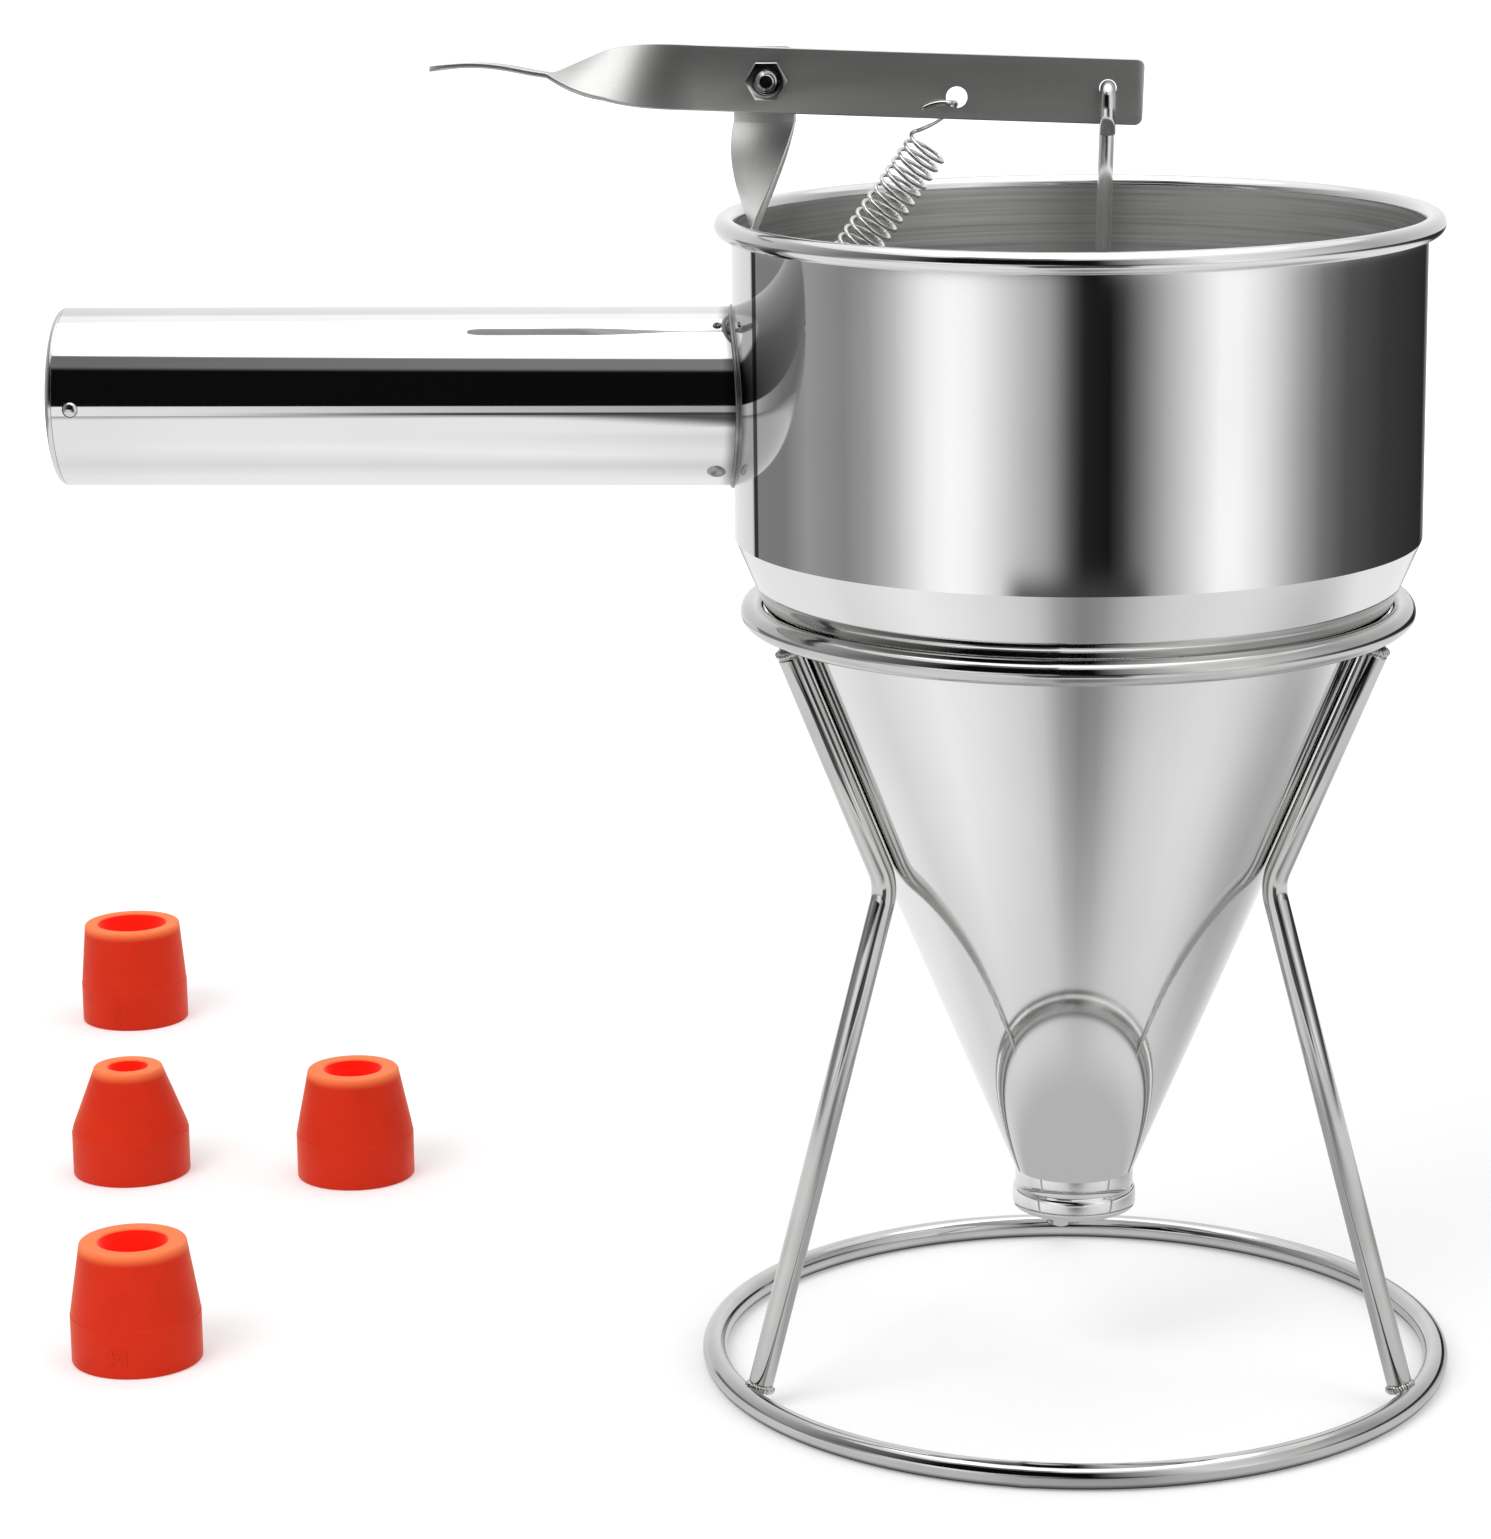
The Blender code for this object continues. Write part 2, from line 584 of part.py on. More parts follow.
def make_thumb_lever(parent):
    thumb_start = LEVER_TWIST_START + LEVER_TWIST_LENGTH
    thumb_flat = THUMB_REACH - THUMB_CORNER_RADIUS - thumb_start
    reaches = [distance - THUMB_REACH for distance in corner_distances(THUMB_CORNER_RADIUS)]
    for i in range(1, THUMB_STATIONS):
        reaches.append(-thumb_start - thumb_flat * (1 - i / THUMB_STATIONS))
    for i in range(LEVER_TWIST_STATIONS + 1):
        share = 1 - i / LEVER_TWIST_STATIONS
        reaches.append(-LEVER_TWIST_START - LEVER_TWIST_LENGTH * share)
    tip_distances = reversed(corner_distances(LEVER_TIP_RADIUS))
    reaches += [LEVER_TO_TIP - distance for distance in tip_distances]
    stations = [lever_station(along) for along in reaches]
    lever = strip("thumb_lever", stations, finish("brushed", "lever_steel"), parent, PIVOT)
    holes = (
        ("lever_bolt_hole_cutter", BOLT_RADIUS + BOLT_CLEARANCE, PIVOT),
        ("lever_spring_hole_cutter", SPRING_HOLE_RADIUS, SPRING_HOLE),
        ("lever_rod_hole_cutter", ROD_HOLE_RADIUS, ROD_HOLE),
    )
    for name, radius, place in holes:
        drill(lever, name, radius, LEVER_THICKNESS, parent, place)


def front_hook_points(upper_end):
    """The spring's free end, which curls down in front of the lever, as far as its hole."""
    front = Vector((0, -1, 0))
    bend_start = upper_end + SPRING_HOOK_BEND_START * front
    bend_end = bend_start + SPRING_HOOK_BEND_RADIUS * (front - LEVER_RIGHT)
    points = []
    for i in range(SPRING_HOOK_STATIONS):
        turn = SPRING_HOOK_CURL_ANGLE * (1 - i / SPRING_HOOK_STATIONS)
        curl = math.sin(turn) * LEVER_RIGHT + (1 - math.cos(turn)) * LEVER_UP
        points.append(bend_end - SPRING_HOOK_CURL_RADIUS * curl)
    for i in range(SPRING_HOOK_STATIONS):
        turn = math.pi / 2 * (1 - i / SPRING_HOOK_STATIONS)
        bend = math.sin(turn) * front - (1 - math.cos(turn)) * LEVER_RIGHT
        points.append(bend_start + SPRING_HOOK_BEND_RADIUS * bend)
    return points


def coil_shift(turns):
    """How far the leaning coil's centre is from its straight line. Both ends stay in place."""
    ease = min(turns, SPRING_TURNS - turns, 1)
    lean = (2 * turns / SPRING_TURNS - 1) * ease**2 * (3 - 2 * ease)
    return lean * Vector((SPRING_COIL_LEAN_LEFT, SPRING_COIL_LEAN_FRONT, 0))


def spring_points():
    """The spring's centre line: front hook, back loop, coil and lower loop, all joined smoothly."""
    anchor = anchor_centre()
    pull = (SPRING_HOLE - anchor).normalized()
    back = Vector((0, 1, 0))
    side = back.cross(pull)
    rest_in_hole = SPRING_HOLE_RADIUS - SPRING_WIRE_RADIUS - SEAT_GAP
    rest_on_eye = ANCHOR_BEND_RADIUS - ANCHOR_WIRE_RADIUS - SPRING_WIRE_RADIUS - SEAT_GAP
    upper_end = SPRING_HOLE - rest_in_hole * pull
    lower_end = anchor + rest_on_eye * pull
    loop = SPRING_LOOP_RADIUS
    coil_top = upper_end - 2 * loop * pull
    coil_bottom = lower_end + 2 * loop * pull
    coil_length = (coil_top - coil_bottom).length

    points = front_hook_points(upper_end)
    for i in range(SPRING_LOOP_STATIONS):
        turn = math.pi * i / SPRING_LOOP_STATIONS
        points.append(upper_end + loop * ((math.cos(turn) - 1) * pull + math.sin(turn) * back))
    for i in range(SPRING_TURNS * SPRING_POINTS_PER_TURN + 1):
        turns = i / SPRING_POINTS_PER_TURN
        turn = 2 * math.pi * turns
        centre = coil_top + SPRING_COIL_RADIUS * side + coil_shift(turns)
        centre -= coil_length * turns / SPRING_TURNS * pull
        spoke = -math.sin(turn) * back - math.cos(turn) * side
        points.append(centre + SPRING_COIL_RADIUS * spoke)
    loop_turn = math.pi + SPRING_FREE_END_ANGLE
    for i in range(1, SPRING_LOOP_STATIONS + 1):
        turn = loop_turn * i / SPRING_LOOP_STATIONS
        points.append(lower_end + loop * ((math.cos(turn) + 1) * pull - math.sin(turn) * back))
    return points


def least_gap(points, wire_radius, neighbours):
    """The least gap of a wire to itself, leaving out points that follow each other closely."""
    least = math.inf
    for i, first in enumerate(points):
        for second in points[i + neighbours :]:
            least = min(least, (first - second).length - 2 * wire_radius)
    return least


def make_return_spring(parent):
    points = spring_points()
    gap = least_gap(points, SPRING_WIRE_RADIUS, SPRING_POINTS_PER_TURN // 2)
    print(f"return_spring: {len(points)} points, least gap to itself {gap * 1000:.2f} mm")
    if gap < SPRING_LEAST_GAP:
        raise ValueError("the return spring's turns are too close")
    steel = finish("plated", "spring_steel")
    wire("return_spring", points, SPRING_WIRE_RADIUS, SPRING_RESOLUTION, steel, parent, PIVOT)


def make_stopper_rod(parent):
    """From the stopper's socket up behind the lever, through its hole and down in front."""
    socket_floor = STOPPER_BOTTOM_HEIGHT + STOPPER_FLOOR
    bend_radius = -LEVER_Y
    bend_height = ROD_HOLE.z - bend_radius
    bend = arc((LEVER_Y, bend_height), bend_radius, 0, math.pi, ROD_HOOK_STATIONS)
    upright_top = STOPPER_BOTTOM_HEIGHT + STOPPER_LENGTH + ROD_UPRIGHT_LENGTH
    points = [(0, 0, socket_floor + SEAT_GAP), (0, 0, upright_top)]
    points += [(ROD_HOLE.x, y, z) for y, z in bend]
    points.append((ROD_HOLE.x, bend[-1][0], ROD_HOLE.z - ROD_HOOK_DROP))
    steel = finish("brushed", "rod_steel")
    return wire("stopper_rod", points, ROD_RADIUS, WIRE_RESOLUTION, steel, parent, ROD_HOLE)


def make_outlet_stopper(rod):
    """A cone that seats just inside the funnel, over the neck, and hangs on the rod."""
    drop = SEAT_GAP / math.cos(CONE_ANGLE)
    seat_radius = NECK_RADIUS - SHEET - drop
    bottom_radius = seat_radius + CONE_SLOPE * STOPPER_ABOVE_NECK
    top_radius = bottom_radius + CONE_SLOPE * STOPPER_LENGTH
    top = STOPPER_BOTTOM_HEIGHT + STOPPER_LENGTH
    socket_radius = ROD_RADIUS + SEAT_GAP
    socket_floor = STOPPER_BOTTOM_HEIGHT + STOPPER_FLOOR
    nose_end = STOPPER_BOTTOM_HEIGHT - STOPPER_NOSE_LENGTH
    profile = [
        (0, socket_floor),
        (socket_radius, socket_floor),
        (socket_radius, top),
        (top_radius, top),
        (bottom_radius, STOPPER_BOTTOM_HEIGHT),
        (STOPPER_NOSE_RADIUS, STOPPER_BOTTOM_HEIGHT),
        (STOPPER_NOSE_RADIUS - STOPPER_NOSE_LENGTH / 2, nose_end),
        (0, nose_end),
    ]
    steel = finish("brushed", "stopper_steel")
    revolve("outlet_stopper", profile, HANDLE_STEPS, steel, rod, -ROD_HOLE, closed=False)


def ring_profile(ring_radius, height):
    """The wire's section, with a flat under it, running down its outer side."""
    corner = WIRE_RADIUS / math.cos(math.pi / WIRE_SIDES)
    turns = [math.pi / WIRE_SIDES - 2 * math.pi * i / WIRE_SIDES for i in range(WIRE_SIDES)]
    return [
        (ring_radius + corner * math.cos(turn), height + corner * math.sin(turn))
        for turn in turns
    ]


def cone_touch(ring_radius):
    """Height of a wire's middle at a radius from the axis when it touches the cone."""
    away = WIRE_RADIUS + SEAT_GAP
    cone_radius = ring_radius - away * math.cos(CONE_ANGLE)
    cone_height = CONE_BOTTOM_HEIGHT + (cone_radius - NECK_RADIUS) / CONE_SLOPE
    return cone_height - away * math.sin(CONE_ANGLE)


def leg_route():
    """(radius, height) points of a leg: down along the cone, round the waist, out to the base."""
    ring_height = cone_touch(TOP_RING_RADIUS)
    end_height = ring_height - WIRE_RADIUS - SEAT_GAP - WIRE_RADIUS * math.sin(CONE_ANGLE)
    upper_way = Vector((math.sin(CONE_ANGLE), math.cos(CONE_ANGLE)))
    top = Vector((TOP_RING_RADIUS - (ring_height - end_height) * CONE_SLOPE, end_height))
    waist_height = ring_height - LEG_WAIST_BELOW_RING
    waist = top - upper_way * (end_height - waist_height) / upper_way.y
    ring_middle = Vector((BASE_RING_RADIUS, WIRE_RADIUS))
    aim = Vector((BASE_RING_RADIUS - LEG_FOOT_INSET, WIRE_RADIUS))
    lower_way = (aim - waist).normalized()
    past = (ring_middle - waist).dot(lower_way)
    ring_corner = WIRE_RADIUS / math.cos(math.pi / WIRE_SIDES)
    foot = waist + lower_way * (past - ring_corner - SEAT_GAP)

    bend = math.acos(upper_way.dot(lower_way))
    cut_back = LEG_BEND_RADIUS / math.tan(bend / 2)
    first = waist + upper_way * cut_back
    last = waist + lower_way * cut_back
    middle_way = (upper_way + lower_way).normalized()
    centre = waist + middle_way * LEG_BEND_RADIUS / math.sin(bend / 2)
    start = math.atan2(first.y - centre.y, first.x - centre.x)
    end = math.atan2(last.y - centre.y, last.x - centre.x)
    if start - end > math.pi:
        end += 2 * math.pi
    if end - start > math.pi:
        start += 2 * math.pi
    bent = arc(centre, LEG_BEND_RADIUS, start, end, LEG_BEND_STATIONS)
    return [tuple(top)] + bent + [tuple(foot)]


def make_stand(parent):
    top_profile = ring_profile(TOP_RING_RADIUS, cone_touch(TOP_RING_RADIUS))
    base_profile = ring_profile(BASE_RING_RADIUS, WIRE_RADIUS)
    steel = finish("chromed", "top_ring_steel")
    revolve("stand_top_ring", top_profile, RING_STEPS, steel, parent, (0, 0, 0))
    steel = finish("chromed", "base_ring_steel")
    revolve("stand_base_ring", base_profile, RING_STEPS, steel, parent, (0, 0, 0))
    route = leg_route()
    for name, angle in LEG_ANGLES.items():
        points = [(r * math.sin(angle), -r * math.cos(angle), z) for r, z in route]
        steel = finish("chromed", f"{name}_steel")
        wire(name, points, WIRE_RADIUS, WIRE_RESOLUTION, steel, parent, Vector((0, 0, 0)))


def make_nozzle(name, bore, mouth, place, parent):
    """A silicone cap: a straight skirt that grips the neck, and a cone down to its mouth."""
    outer = NOZZLE_BASE_RADIUS
    inner = NOZZLE_INNER_RADIUS
    lip = mouth / 2
    top_edge = (lip - NOZZLE_EDGE_RADIUS, NOZZLE_LENGTH - NOZZLE_EDGE_RADIUS)
    profile = arc(top_edge, NOZZLE_EDGE_RADIUS, math.pi / 2, 0, NOZZLE_EDGE_STATIONS)
    profile += [
        (outer, NOZZLE_STRAIGHT_LENGTH),
        (outer, NOZZLE_EDGE_RADIUS),
        (outer - NOZZLE_EDGE_RADIUS, 0),
        (inner, 0),
        (inner, NOZZLE_STRAIGHT_LENGTH),
        (bore / 2, NOZZLE_LENGTH - NOZZLE_MOUTH_LAND),
        (bore / 2, NOZZLE_LENGTH),
    ]
    revolve(name, profile, NOZZLE_STEPS, finish("silicone", f"{name}_silicone"), parent, (*place, 0))


def main():
    clear_scene()
    dispenser = make_empty("dispenser", None, PLACE)
    funnel = make_empty("funnel_lift_axis", dispenser, (0, 0, 0))
    make_stand(dispenser)
    make_bowl_wall(funnel)
    make_funnel_cone(funnel)
    make_outlet_neck(funnel)
    make_handle(funnel)
    make_lever_post(funnel)
    make_spring_anchor(funnel)
    make_pivot_bolt(funnel)
    make_pivot_washer(funnel)
    make_pivot_nut(funnel)
    make_thumb_lever(funnel)
    make_return_spring(funnel)
    rod = make_stopper_rod(funnel)
    make_outlet_stopper(rod)
    for name, nozzle in NOZZLES.items():
        make_nozzle(name, nozzle["bore"], nozzle["mouth"], nozzle["place"], dispenser)


main()
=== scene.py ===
# %% [markdown]
# # A pancake batter dispenser, dressed for its picture
# The CAD model gives every piece its place and size, in metres.
# These cells build a finer piece for each part, give it its finish, and light it like a studio picture.

# %% Load the model
import math

import bmesh
import bpy
from mathutils import Matrix, Vector


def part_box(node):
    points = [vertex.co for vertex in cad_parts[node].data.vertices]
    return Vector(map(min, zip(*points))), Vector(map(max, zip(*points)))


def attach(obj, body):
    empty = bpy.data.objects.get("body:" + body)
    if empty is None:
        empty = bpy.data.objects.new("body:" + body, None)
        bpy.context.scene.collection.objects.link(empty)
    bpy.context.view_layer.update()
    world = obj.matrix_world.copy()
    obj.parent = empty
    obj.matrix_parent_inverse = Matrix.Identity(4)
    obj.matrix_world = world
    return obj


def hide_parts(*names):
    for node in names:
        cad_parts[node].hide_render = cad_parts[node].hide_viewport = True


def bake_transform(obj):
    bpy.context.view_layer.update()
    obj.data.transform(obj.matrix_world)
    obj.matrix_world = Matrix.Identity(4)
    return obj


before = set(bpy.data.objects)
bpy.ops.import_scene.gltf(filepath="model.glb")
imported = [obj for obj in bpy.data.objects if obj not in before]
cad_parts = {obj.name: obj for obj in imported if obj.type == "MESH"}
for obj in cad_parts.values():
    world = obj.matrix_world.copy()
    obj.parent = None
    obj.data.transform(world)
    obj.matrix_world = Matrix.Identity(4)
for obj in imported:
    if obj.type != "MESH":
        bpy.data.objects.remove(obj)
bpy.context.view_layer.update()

low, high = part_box("bowl_wall")
AXIS = Vector(((low.x + high.x) / 2, (low.y + high.y) / 2, 0))
MM = 0.001


def at(x, y, z):
    """A point given in millimetres from the funnel's axis on the table."""
    return AXIS + Vector((x, y, z)) * MM


print("the funnel's axis stands at", [round(value, 5) for value in AXIS])

# %% [markdown]
# ## The camera
# The picture is taken from in front, a little above the rim, with a long lens.
# The place and the angles were worked out from twenty points of the object that show in the picture.
# A camera looks along its own minus Z, so its matrix holds the right, the up and the backward direction.

# %% Camera
PICTURE_WIDTH = 1491
FOCAL_PIXELS = 4594.18
YAW, PITCH, ROLL = math.radians(-4.351), math.radians(13.163), math.radians(-0.707)

forward = Vector((math.sin(YAW) * math.cos(PITCH), math.cos(YAW) * math.cos(PITCH), -math.sin(PITCH)))
level = Vector((math.cos(YAW), -math.sin(YAW), 0))
above = level.cross(forward)
right = math.cos(ROLL) * level + math.sin(ROLL) * above
up = -math.sin(ROLL) * level + math.cos(ROLL) * above

lens = bpy.data.cameras.new("camera")
lens.sensor_fit = "HORIZONTAL"
lens.sensor_width = 36
lens.lens = lens.sensor_width * FOCAL_PIXELS / PICTURE_WIDTH
camera = bpy.data.objects.new("camera", lens)
bpy.context.scene.collection.objects.link(camera)
turn = Matrix((right, up, -forward)).transposed().to_4x4()
camera.matrix_world = Matrix.Translation(at(1.922, -862.03, 320.51)) @ turn
bpy.context.scene.camera = camera
print("the lens is", round(lens.lens, 2), "mm")

# %% [markdown]
# ## Small helpers
# Every finish below is a tree of nodes. Short helpers keep those cells readable: one adds a node and
# fills its inputs with numbers or with other nodes' sockets, and the others are the sums, blends and
# directions that come back often. Three more turn what was built into a mesh or an object.

# %% Node helpers
def join(tree, source, target):
    tree.links.new(source, target)


def add_node(tree, kind, values=None, **settings):
    """A node with its settings, and a value or a socket for its named or numbered inputs."""
    node = tree.nodes.new(kind)
    for name, value in settings.items():
        setattr(node, name, value)
    for key, value in (values or {}).items():
        if isinstance(value, bpy.types.NodeSocket):
            join(tree, value, node.inputs[key])
        else:
            node.inputs[key].default_value = value
    return node


def sum_node(tree, operation, *sides):
    """A Math node. Each side is a socket or a number."""
    return add_node(tree, "ShaderNodeMath", dict(enumerate(sides)), operation=operation).outputs[0]


def away_from(tree, value, middle):
    """How far a value is from the middle."""
    return sum_node(tree, "ABSOLUTE", sum_node(tree, "SUBTRACT", value, middle))


def scale_node(tree, vector, factor):
    """A colour times a number."""
    return add_node(tree, "ShaderNodeVectorMath", {0: vector, "Scale": factor}, operation="SCALE").outputs[0]


def ramp_node(tree, factor, stops):
    """A gray ramp through (place, value) stops."""
    node = add_node(tree, "ShaderNodeValToRGB", {0: factor})
    ramp = node.color_ramp
    while len(ramp.elements) < len(stops):
        ramp.elements.new(0.5)
    for element, (place, value) in zip(ramp.elements, stops):
        element.position = place
    for element, (place, value) in zip(ramp.elements, stops):
        element.color = (value, value, value, 1)
    return node.outputs[0]


def smooth_step(tree, value, start, end):
    """0 before start, 1 after end, smooth between."""
    values = {0: value, 1: start, 2: end}
    return add_node(tree, "ShaderNodeMapRange", values, interpolation_type="SMOOTHSTEP").outputs[0]


def blend_values(tree, factor, first, second):
    """First where the factor is 0, second where it is 1."""
    return add_node(tree, "ShaderNodeMix", {0: factor, 2: first, 3: second}, data_type="FLOAT").outputs[0]


def blend_colors(tree, factor, first, second):
    """The same for two colours."""
    return add_node(tree, "ShaderNodeMix", {0: factor, 6: first, 7: second}, data_type="RGBA").outputs[2]


def layer(tree, base, place, edges, value):
    """The base before the first edge, another value after the second."""
    return blend_values(tree, smooth_step(tree, place, *edges), base, value)


def object_place(tree, start=Vector()):
    """X, Y and Z in the object's own coordinates, measured from a start."""
    place = add_node(tree, "ShaderNodeTexCoord").outputs["Object"]
    mapping = add_node(tree, "ShaderNodeMapping", {"Vector": place, "Location": -start})
    return add_node(tree, "ShaderNodeSeparateXYZ", {0: mapping.outputs[0]}).outputs


def round_angle(tree, place):
    """The angle round the upright axis, with the camera's side at 0 and the right hand positive."""
    return sum_node(tree, "ARCTAN2", place["X"], sum_node(tree, "MULTIPLY", place["Y"], -1.0))


def round_share(tree, place):
    """The same angle as 0 to 1, with the camera's side at a half."""
    return sum_node(tree, "MULTIPLY_ADD", round_angle(tree, place), 1 / math.tau, 0.5)


def round_reach(tree, place):
    """The distance from the upright axis."""
    flat = add_node(tree, "ShaderNodeCombineXYZ", {0: place["X"], 1: place["Y"]})
    return add_node(tree, "ShaderNodeVectorMath", {0: flat.outputs[0]}, operation="LENGTH").outputs["Value"]


# %% Mesh and object helpers
def finished_mesh(name, bm):
    """The mesh that a bmesh holds."""
    mesh = bpy.data.meshes.new(name)
    bm.to_mesh(mesh)
    bm.free()
    return mesh


def evaluated_mesh(thing):
    """The mesh that a thing makes with its modifiers."""
    graph = bpy.context.evaluated_depsgraph_get()
    return bpy.data.meshes.new_from_object(thing.evaluated_get(graph), depsgraph=graph)


def new_piece(name, data, materials=()):
    """An object in the scene, with its finishes."""
    piece = bpy.data.objects.new(name, data)
    bpy.context.scene.collection.objects.link(piece)
    for material in materials:
        data.materials.append(material)
    return piece


# %% [markdown]
# ## The studio
# Polished steel has hardly a colour of its own: it shows the room. The picture was taken inside
# white screens with dark cards between them, which is what draws the upright stripes on the bowl
# and the black band along the handle. So the room is built first.
# - The world is plain white to the camera and to reflections, and gives even light.
# - A ring of screens stands round the table. Only reflections see it. Its brightness changes with
#   the direction, and is read from the stripes on the bowl.
# - The floor is pale and keeps the object's shadow.

# %% World
world = bpy.data.worlds.new("studio_light")
bpy.context.scene.world = world
world.use_nodes = True
tree = world.node_tree
background = tree.nodes["Background"]
rays = add_node(tree, "ShaderNodeLightPath")
seen = sum_node(tree, "MAXIMUM", rays.outputs["Is Camera Ray"], rays.outputs["Is Glossy Ray"])
seen = sum_node(tree, "MAXIMUM", seen, rays.outputs["Is Transmission Ray"])
EVEN_LIGHT = 0.66
join(tree, blend_values(tree, seen, EVEN_LIGHT, 1.0), background.inputs["Strength"])
background.inputs["Color"].default_value = (1, 1, 1, 1)
world.cycles.sampling_method = "NONE"
bpy.context.scene.view_settings.view_transform = "Standard"
print("even light", EVEN_LIGHT)

# %% Screens round the table, seen in reflections only
# Each stop is a direction in degrees, from the camera's side at 0, with the right hand positive,
# and how bright the screen is there.
LOW_SCREENS = (
    (-180, 0.74), (-160, 0.78), (-133, 0.66), (-131, 0.20), (-109, 0.19),
    (-96, 0.30), (-79, 0.23), (-69, 0.31), (-60, 0.48), (-47.5, 0.87), (-40, 0.97), (-33, 0.92),
    (-16.5, 0.50), (-9.2, 0.35), (-2, 0.08), (2, 0.015), (10, 0.008), (14.5, 0.05), (20.2, 0.19),
    (45, 0.95), (51.3, 0.95), (60, 0.77), (73.4, 0.37), (83.4, 0.17), (94.5, 0.08), (115, 0.04),
    (155, 0.02), (166, 0.30), (180, 0.74),
)
MIDDLE_SCREENS = (
    (-180, 0.85), (-125, 0.60), (-103, 0.42), (-84, 0.30), (-75, 0.20), (-55, 0.10), (-45, 0.03),
    (-40, 0.004),
    (6, 0.003), (16, 0.28), (40, 0.85), (75, 0.60), (100, 0.40), (140, 0.60), (180, 0.85),
)
HIGH_SCREENS = (
    (-180, 1.0), (-110, 0.85), (-52, 0.90), (-46, 0.50), (-42, 0.13), (-8, 0.20), (-3, 0.80),
    (40, 0.90), (100, 0.85), (180, 1.0),
)
SCREEN_RADIUS = 0.72
SCREEN_HEIGHT = 1.6
SCREEN_STRENGTH = 1.22
CEILING_LIGHT = 1.6
# Heights in metres between which one row of screens gives way to the next.
LOW_TO_MIDDLE, MIDDLE_TO_HIGH, HIGH_TO_CEILING = (0.138, 0.146), (0.74, 0.86), (1.20, 1.32)
# In front, the screens have a dark foot: how far round it reaches, how high, and how bright it is.
FOOT_SHARE, FOOT_HEIGHT, FOOT_LIGHT = (0.070, 0.045), (0.048, 0.036), 0.05
def screen_stops(stops):
    return [(angle / 360 + 0.5, value) for angle, value in stops]


def empty_paint(name):
    """A material with an empty tree, whose glow isn't sampled as a lamp."""
    paint = bpy.data.materials.new(name)
    paint.use_nodes = True
    paint.node_tree.nodes.clear()
    paint.cycles.emission_sampling = "NONE"
    return paint, paint.node_tree


screen_paint, tree = empty_paint("screen_paint")
place = object_place(tree)
share, height = round_share(tree, place), place["Z"]
low_row, middle_row, high_row = [ramp_node(tree, share, screen_stops(stops))
                                 for stops in (LOW_SCREENS, MIDDLE_SCREENS, HIGH_SCREENS)]
rows = layer(tree, low_row, height, LOW_TO_MIDDLE, middle_row)
in_front = smooth_step(tree, away_from(tree, share, 0.5), *FOOT_SHARE)
dark_foot = sum_node(tree, "MULTIPLY", in_front, smooth_step(tree, height, *FOOT_HEIGHT))
rows = blend_values(tree, dark_foot, rows, FOOT_LIGHT)
rows = layer(tree, rows, height, MIDDLE_TO_HIGH, high_row)
rows = layer(tree, rows, height, HIGH_TO_CEILING, CEILING_LIGHT)
glow = add_node(tree, "ShaderNodeEmission", {"Color": rows, "Strength": SCREEN_STRENGTH})
add_node(tree, "ShaderNodeOutputMaterial", {"Surface": glow.outputs[0]})

bm = bmesh.new()
bmesh.ops.create_cone(bm, cap_ends=False, segments=96, radius1=SCREEN_RADIUS, radius2=SCREEN_RADIUS,
                      depth=SCREEN_HEIGHT, matrix=Matrix.Translation((0, 0, SCREEN_HEIGHT / 2)))
bmesh.ops.create_circle(bm, cap_ends=True, segments=96, radius=SCREEN_RADIUS,
                        matrix=Matrix.Translation((0, 0, SCREEN_HEIGHT)))
bmesh.ops.remove_doubles(bm, verts=bm.verts, dist=0.0001)
screens = new_piece("screens", finished_mesh("screens", bm), [screen_paint])
screens.location = AXIS
screens.visible_camera = False
screens.visible_diffuse = False
screens.visible_shadow = False
screens.visible_transmission = False
print("screens:", len(LOW_SCREENS), "stops in the low row")

# %% Floor
# The camera sees plain diffuse paint with a glow that grows with the distance, so that the floor
# fades into a white background behind the object and keeps its shadows near it.
# Steel sees a painted reflection, with its brightness as the photograph's cone and handle show it: a
# darker wedge in front, which is where the photographer stood, and a grayer right hand side. The legs
# see a painted dark strip. Close to the ring that lies on it, the floor in steel holds a painted shadow.
FLOOR_SIZE = 7.0
NEAR_GLOW, FAR_GLOW = 0.24, 0.75
BASE_RING_REACH = 0.0709
FLOOR_IN_STEEL = (
    (-180, 0.85), (-150, 0.90), (-110, 0.88), (-88, 0.76), (-75, 0.82), (-57, 0.93), (-40, 0.86),
    (-23, 0.74), (-14, 0.62), (-6, 0.37), (2, 0.24), (10, 0.30), (18, 0.48), (26, 0.63), (34, 0.72),
    (52, 0.81), (61, 0.81), (71, 0.75), (81, 0.64), (92, 0.51), (105, 0.43), (125, 0.48), (150, 0.70),
    (180, 0.85),
)
# The first row darkens the floor near the object, and the second is a painted shadow inside the ring.
# Each row holds the two edges of a blend, in metres from the axis, and the brightness past them.
FLOOR_REACHES = (((0.15, 0.02), 0.66), ((0.066, 0.050), 0.50), ((0.20, 0.30), 0.86), ((0.55, 0.70), 0.40))
STRIP_MIDDLE, STRIP_SHARE, STRIP_REACH, STRIP_LIGHT = 0.503, (0.055, 0.035), (0.31, 0.36), 0.09
RING_SHADOW_EDGES, RING_SHADOW_LIGHT = (0.0035, 0.0010), 0.05
GLOW_EDGES, FLOOR_STRENGTH = (0.35, 0.75), 1.1
floor_paint, tree = empty_paint("floor_paint")
place = object_place(tree)
share, reach = round_share(tree, place), round_reach(tree, place)
in_steel = ramp_node(tree, share, screen_stops(FLOOR_IN_STEEL))
for edges, light in FLOOR_REACHES:
    in_steel = layer(tree, in_steel, reach, edges, light)
in_front = smooth_step(tree, away_from(tree, share, STRIP_MIDDLE), *STRIP_SHARE)
in_strip = sum_node(tree, "MULTIPLY", in_front, smooth_step(tree, reach, *STRIP_REACH))
in_steel = blend_values(tree, in_strip, in_steel, STRIP_LIGHT)
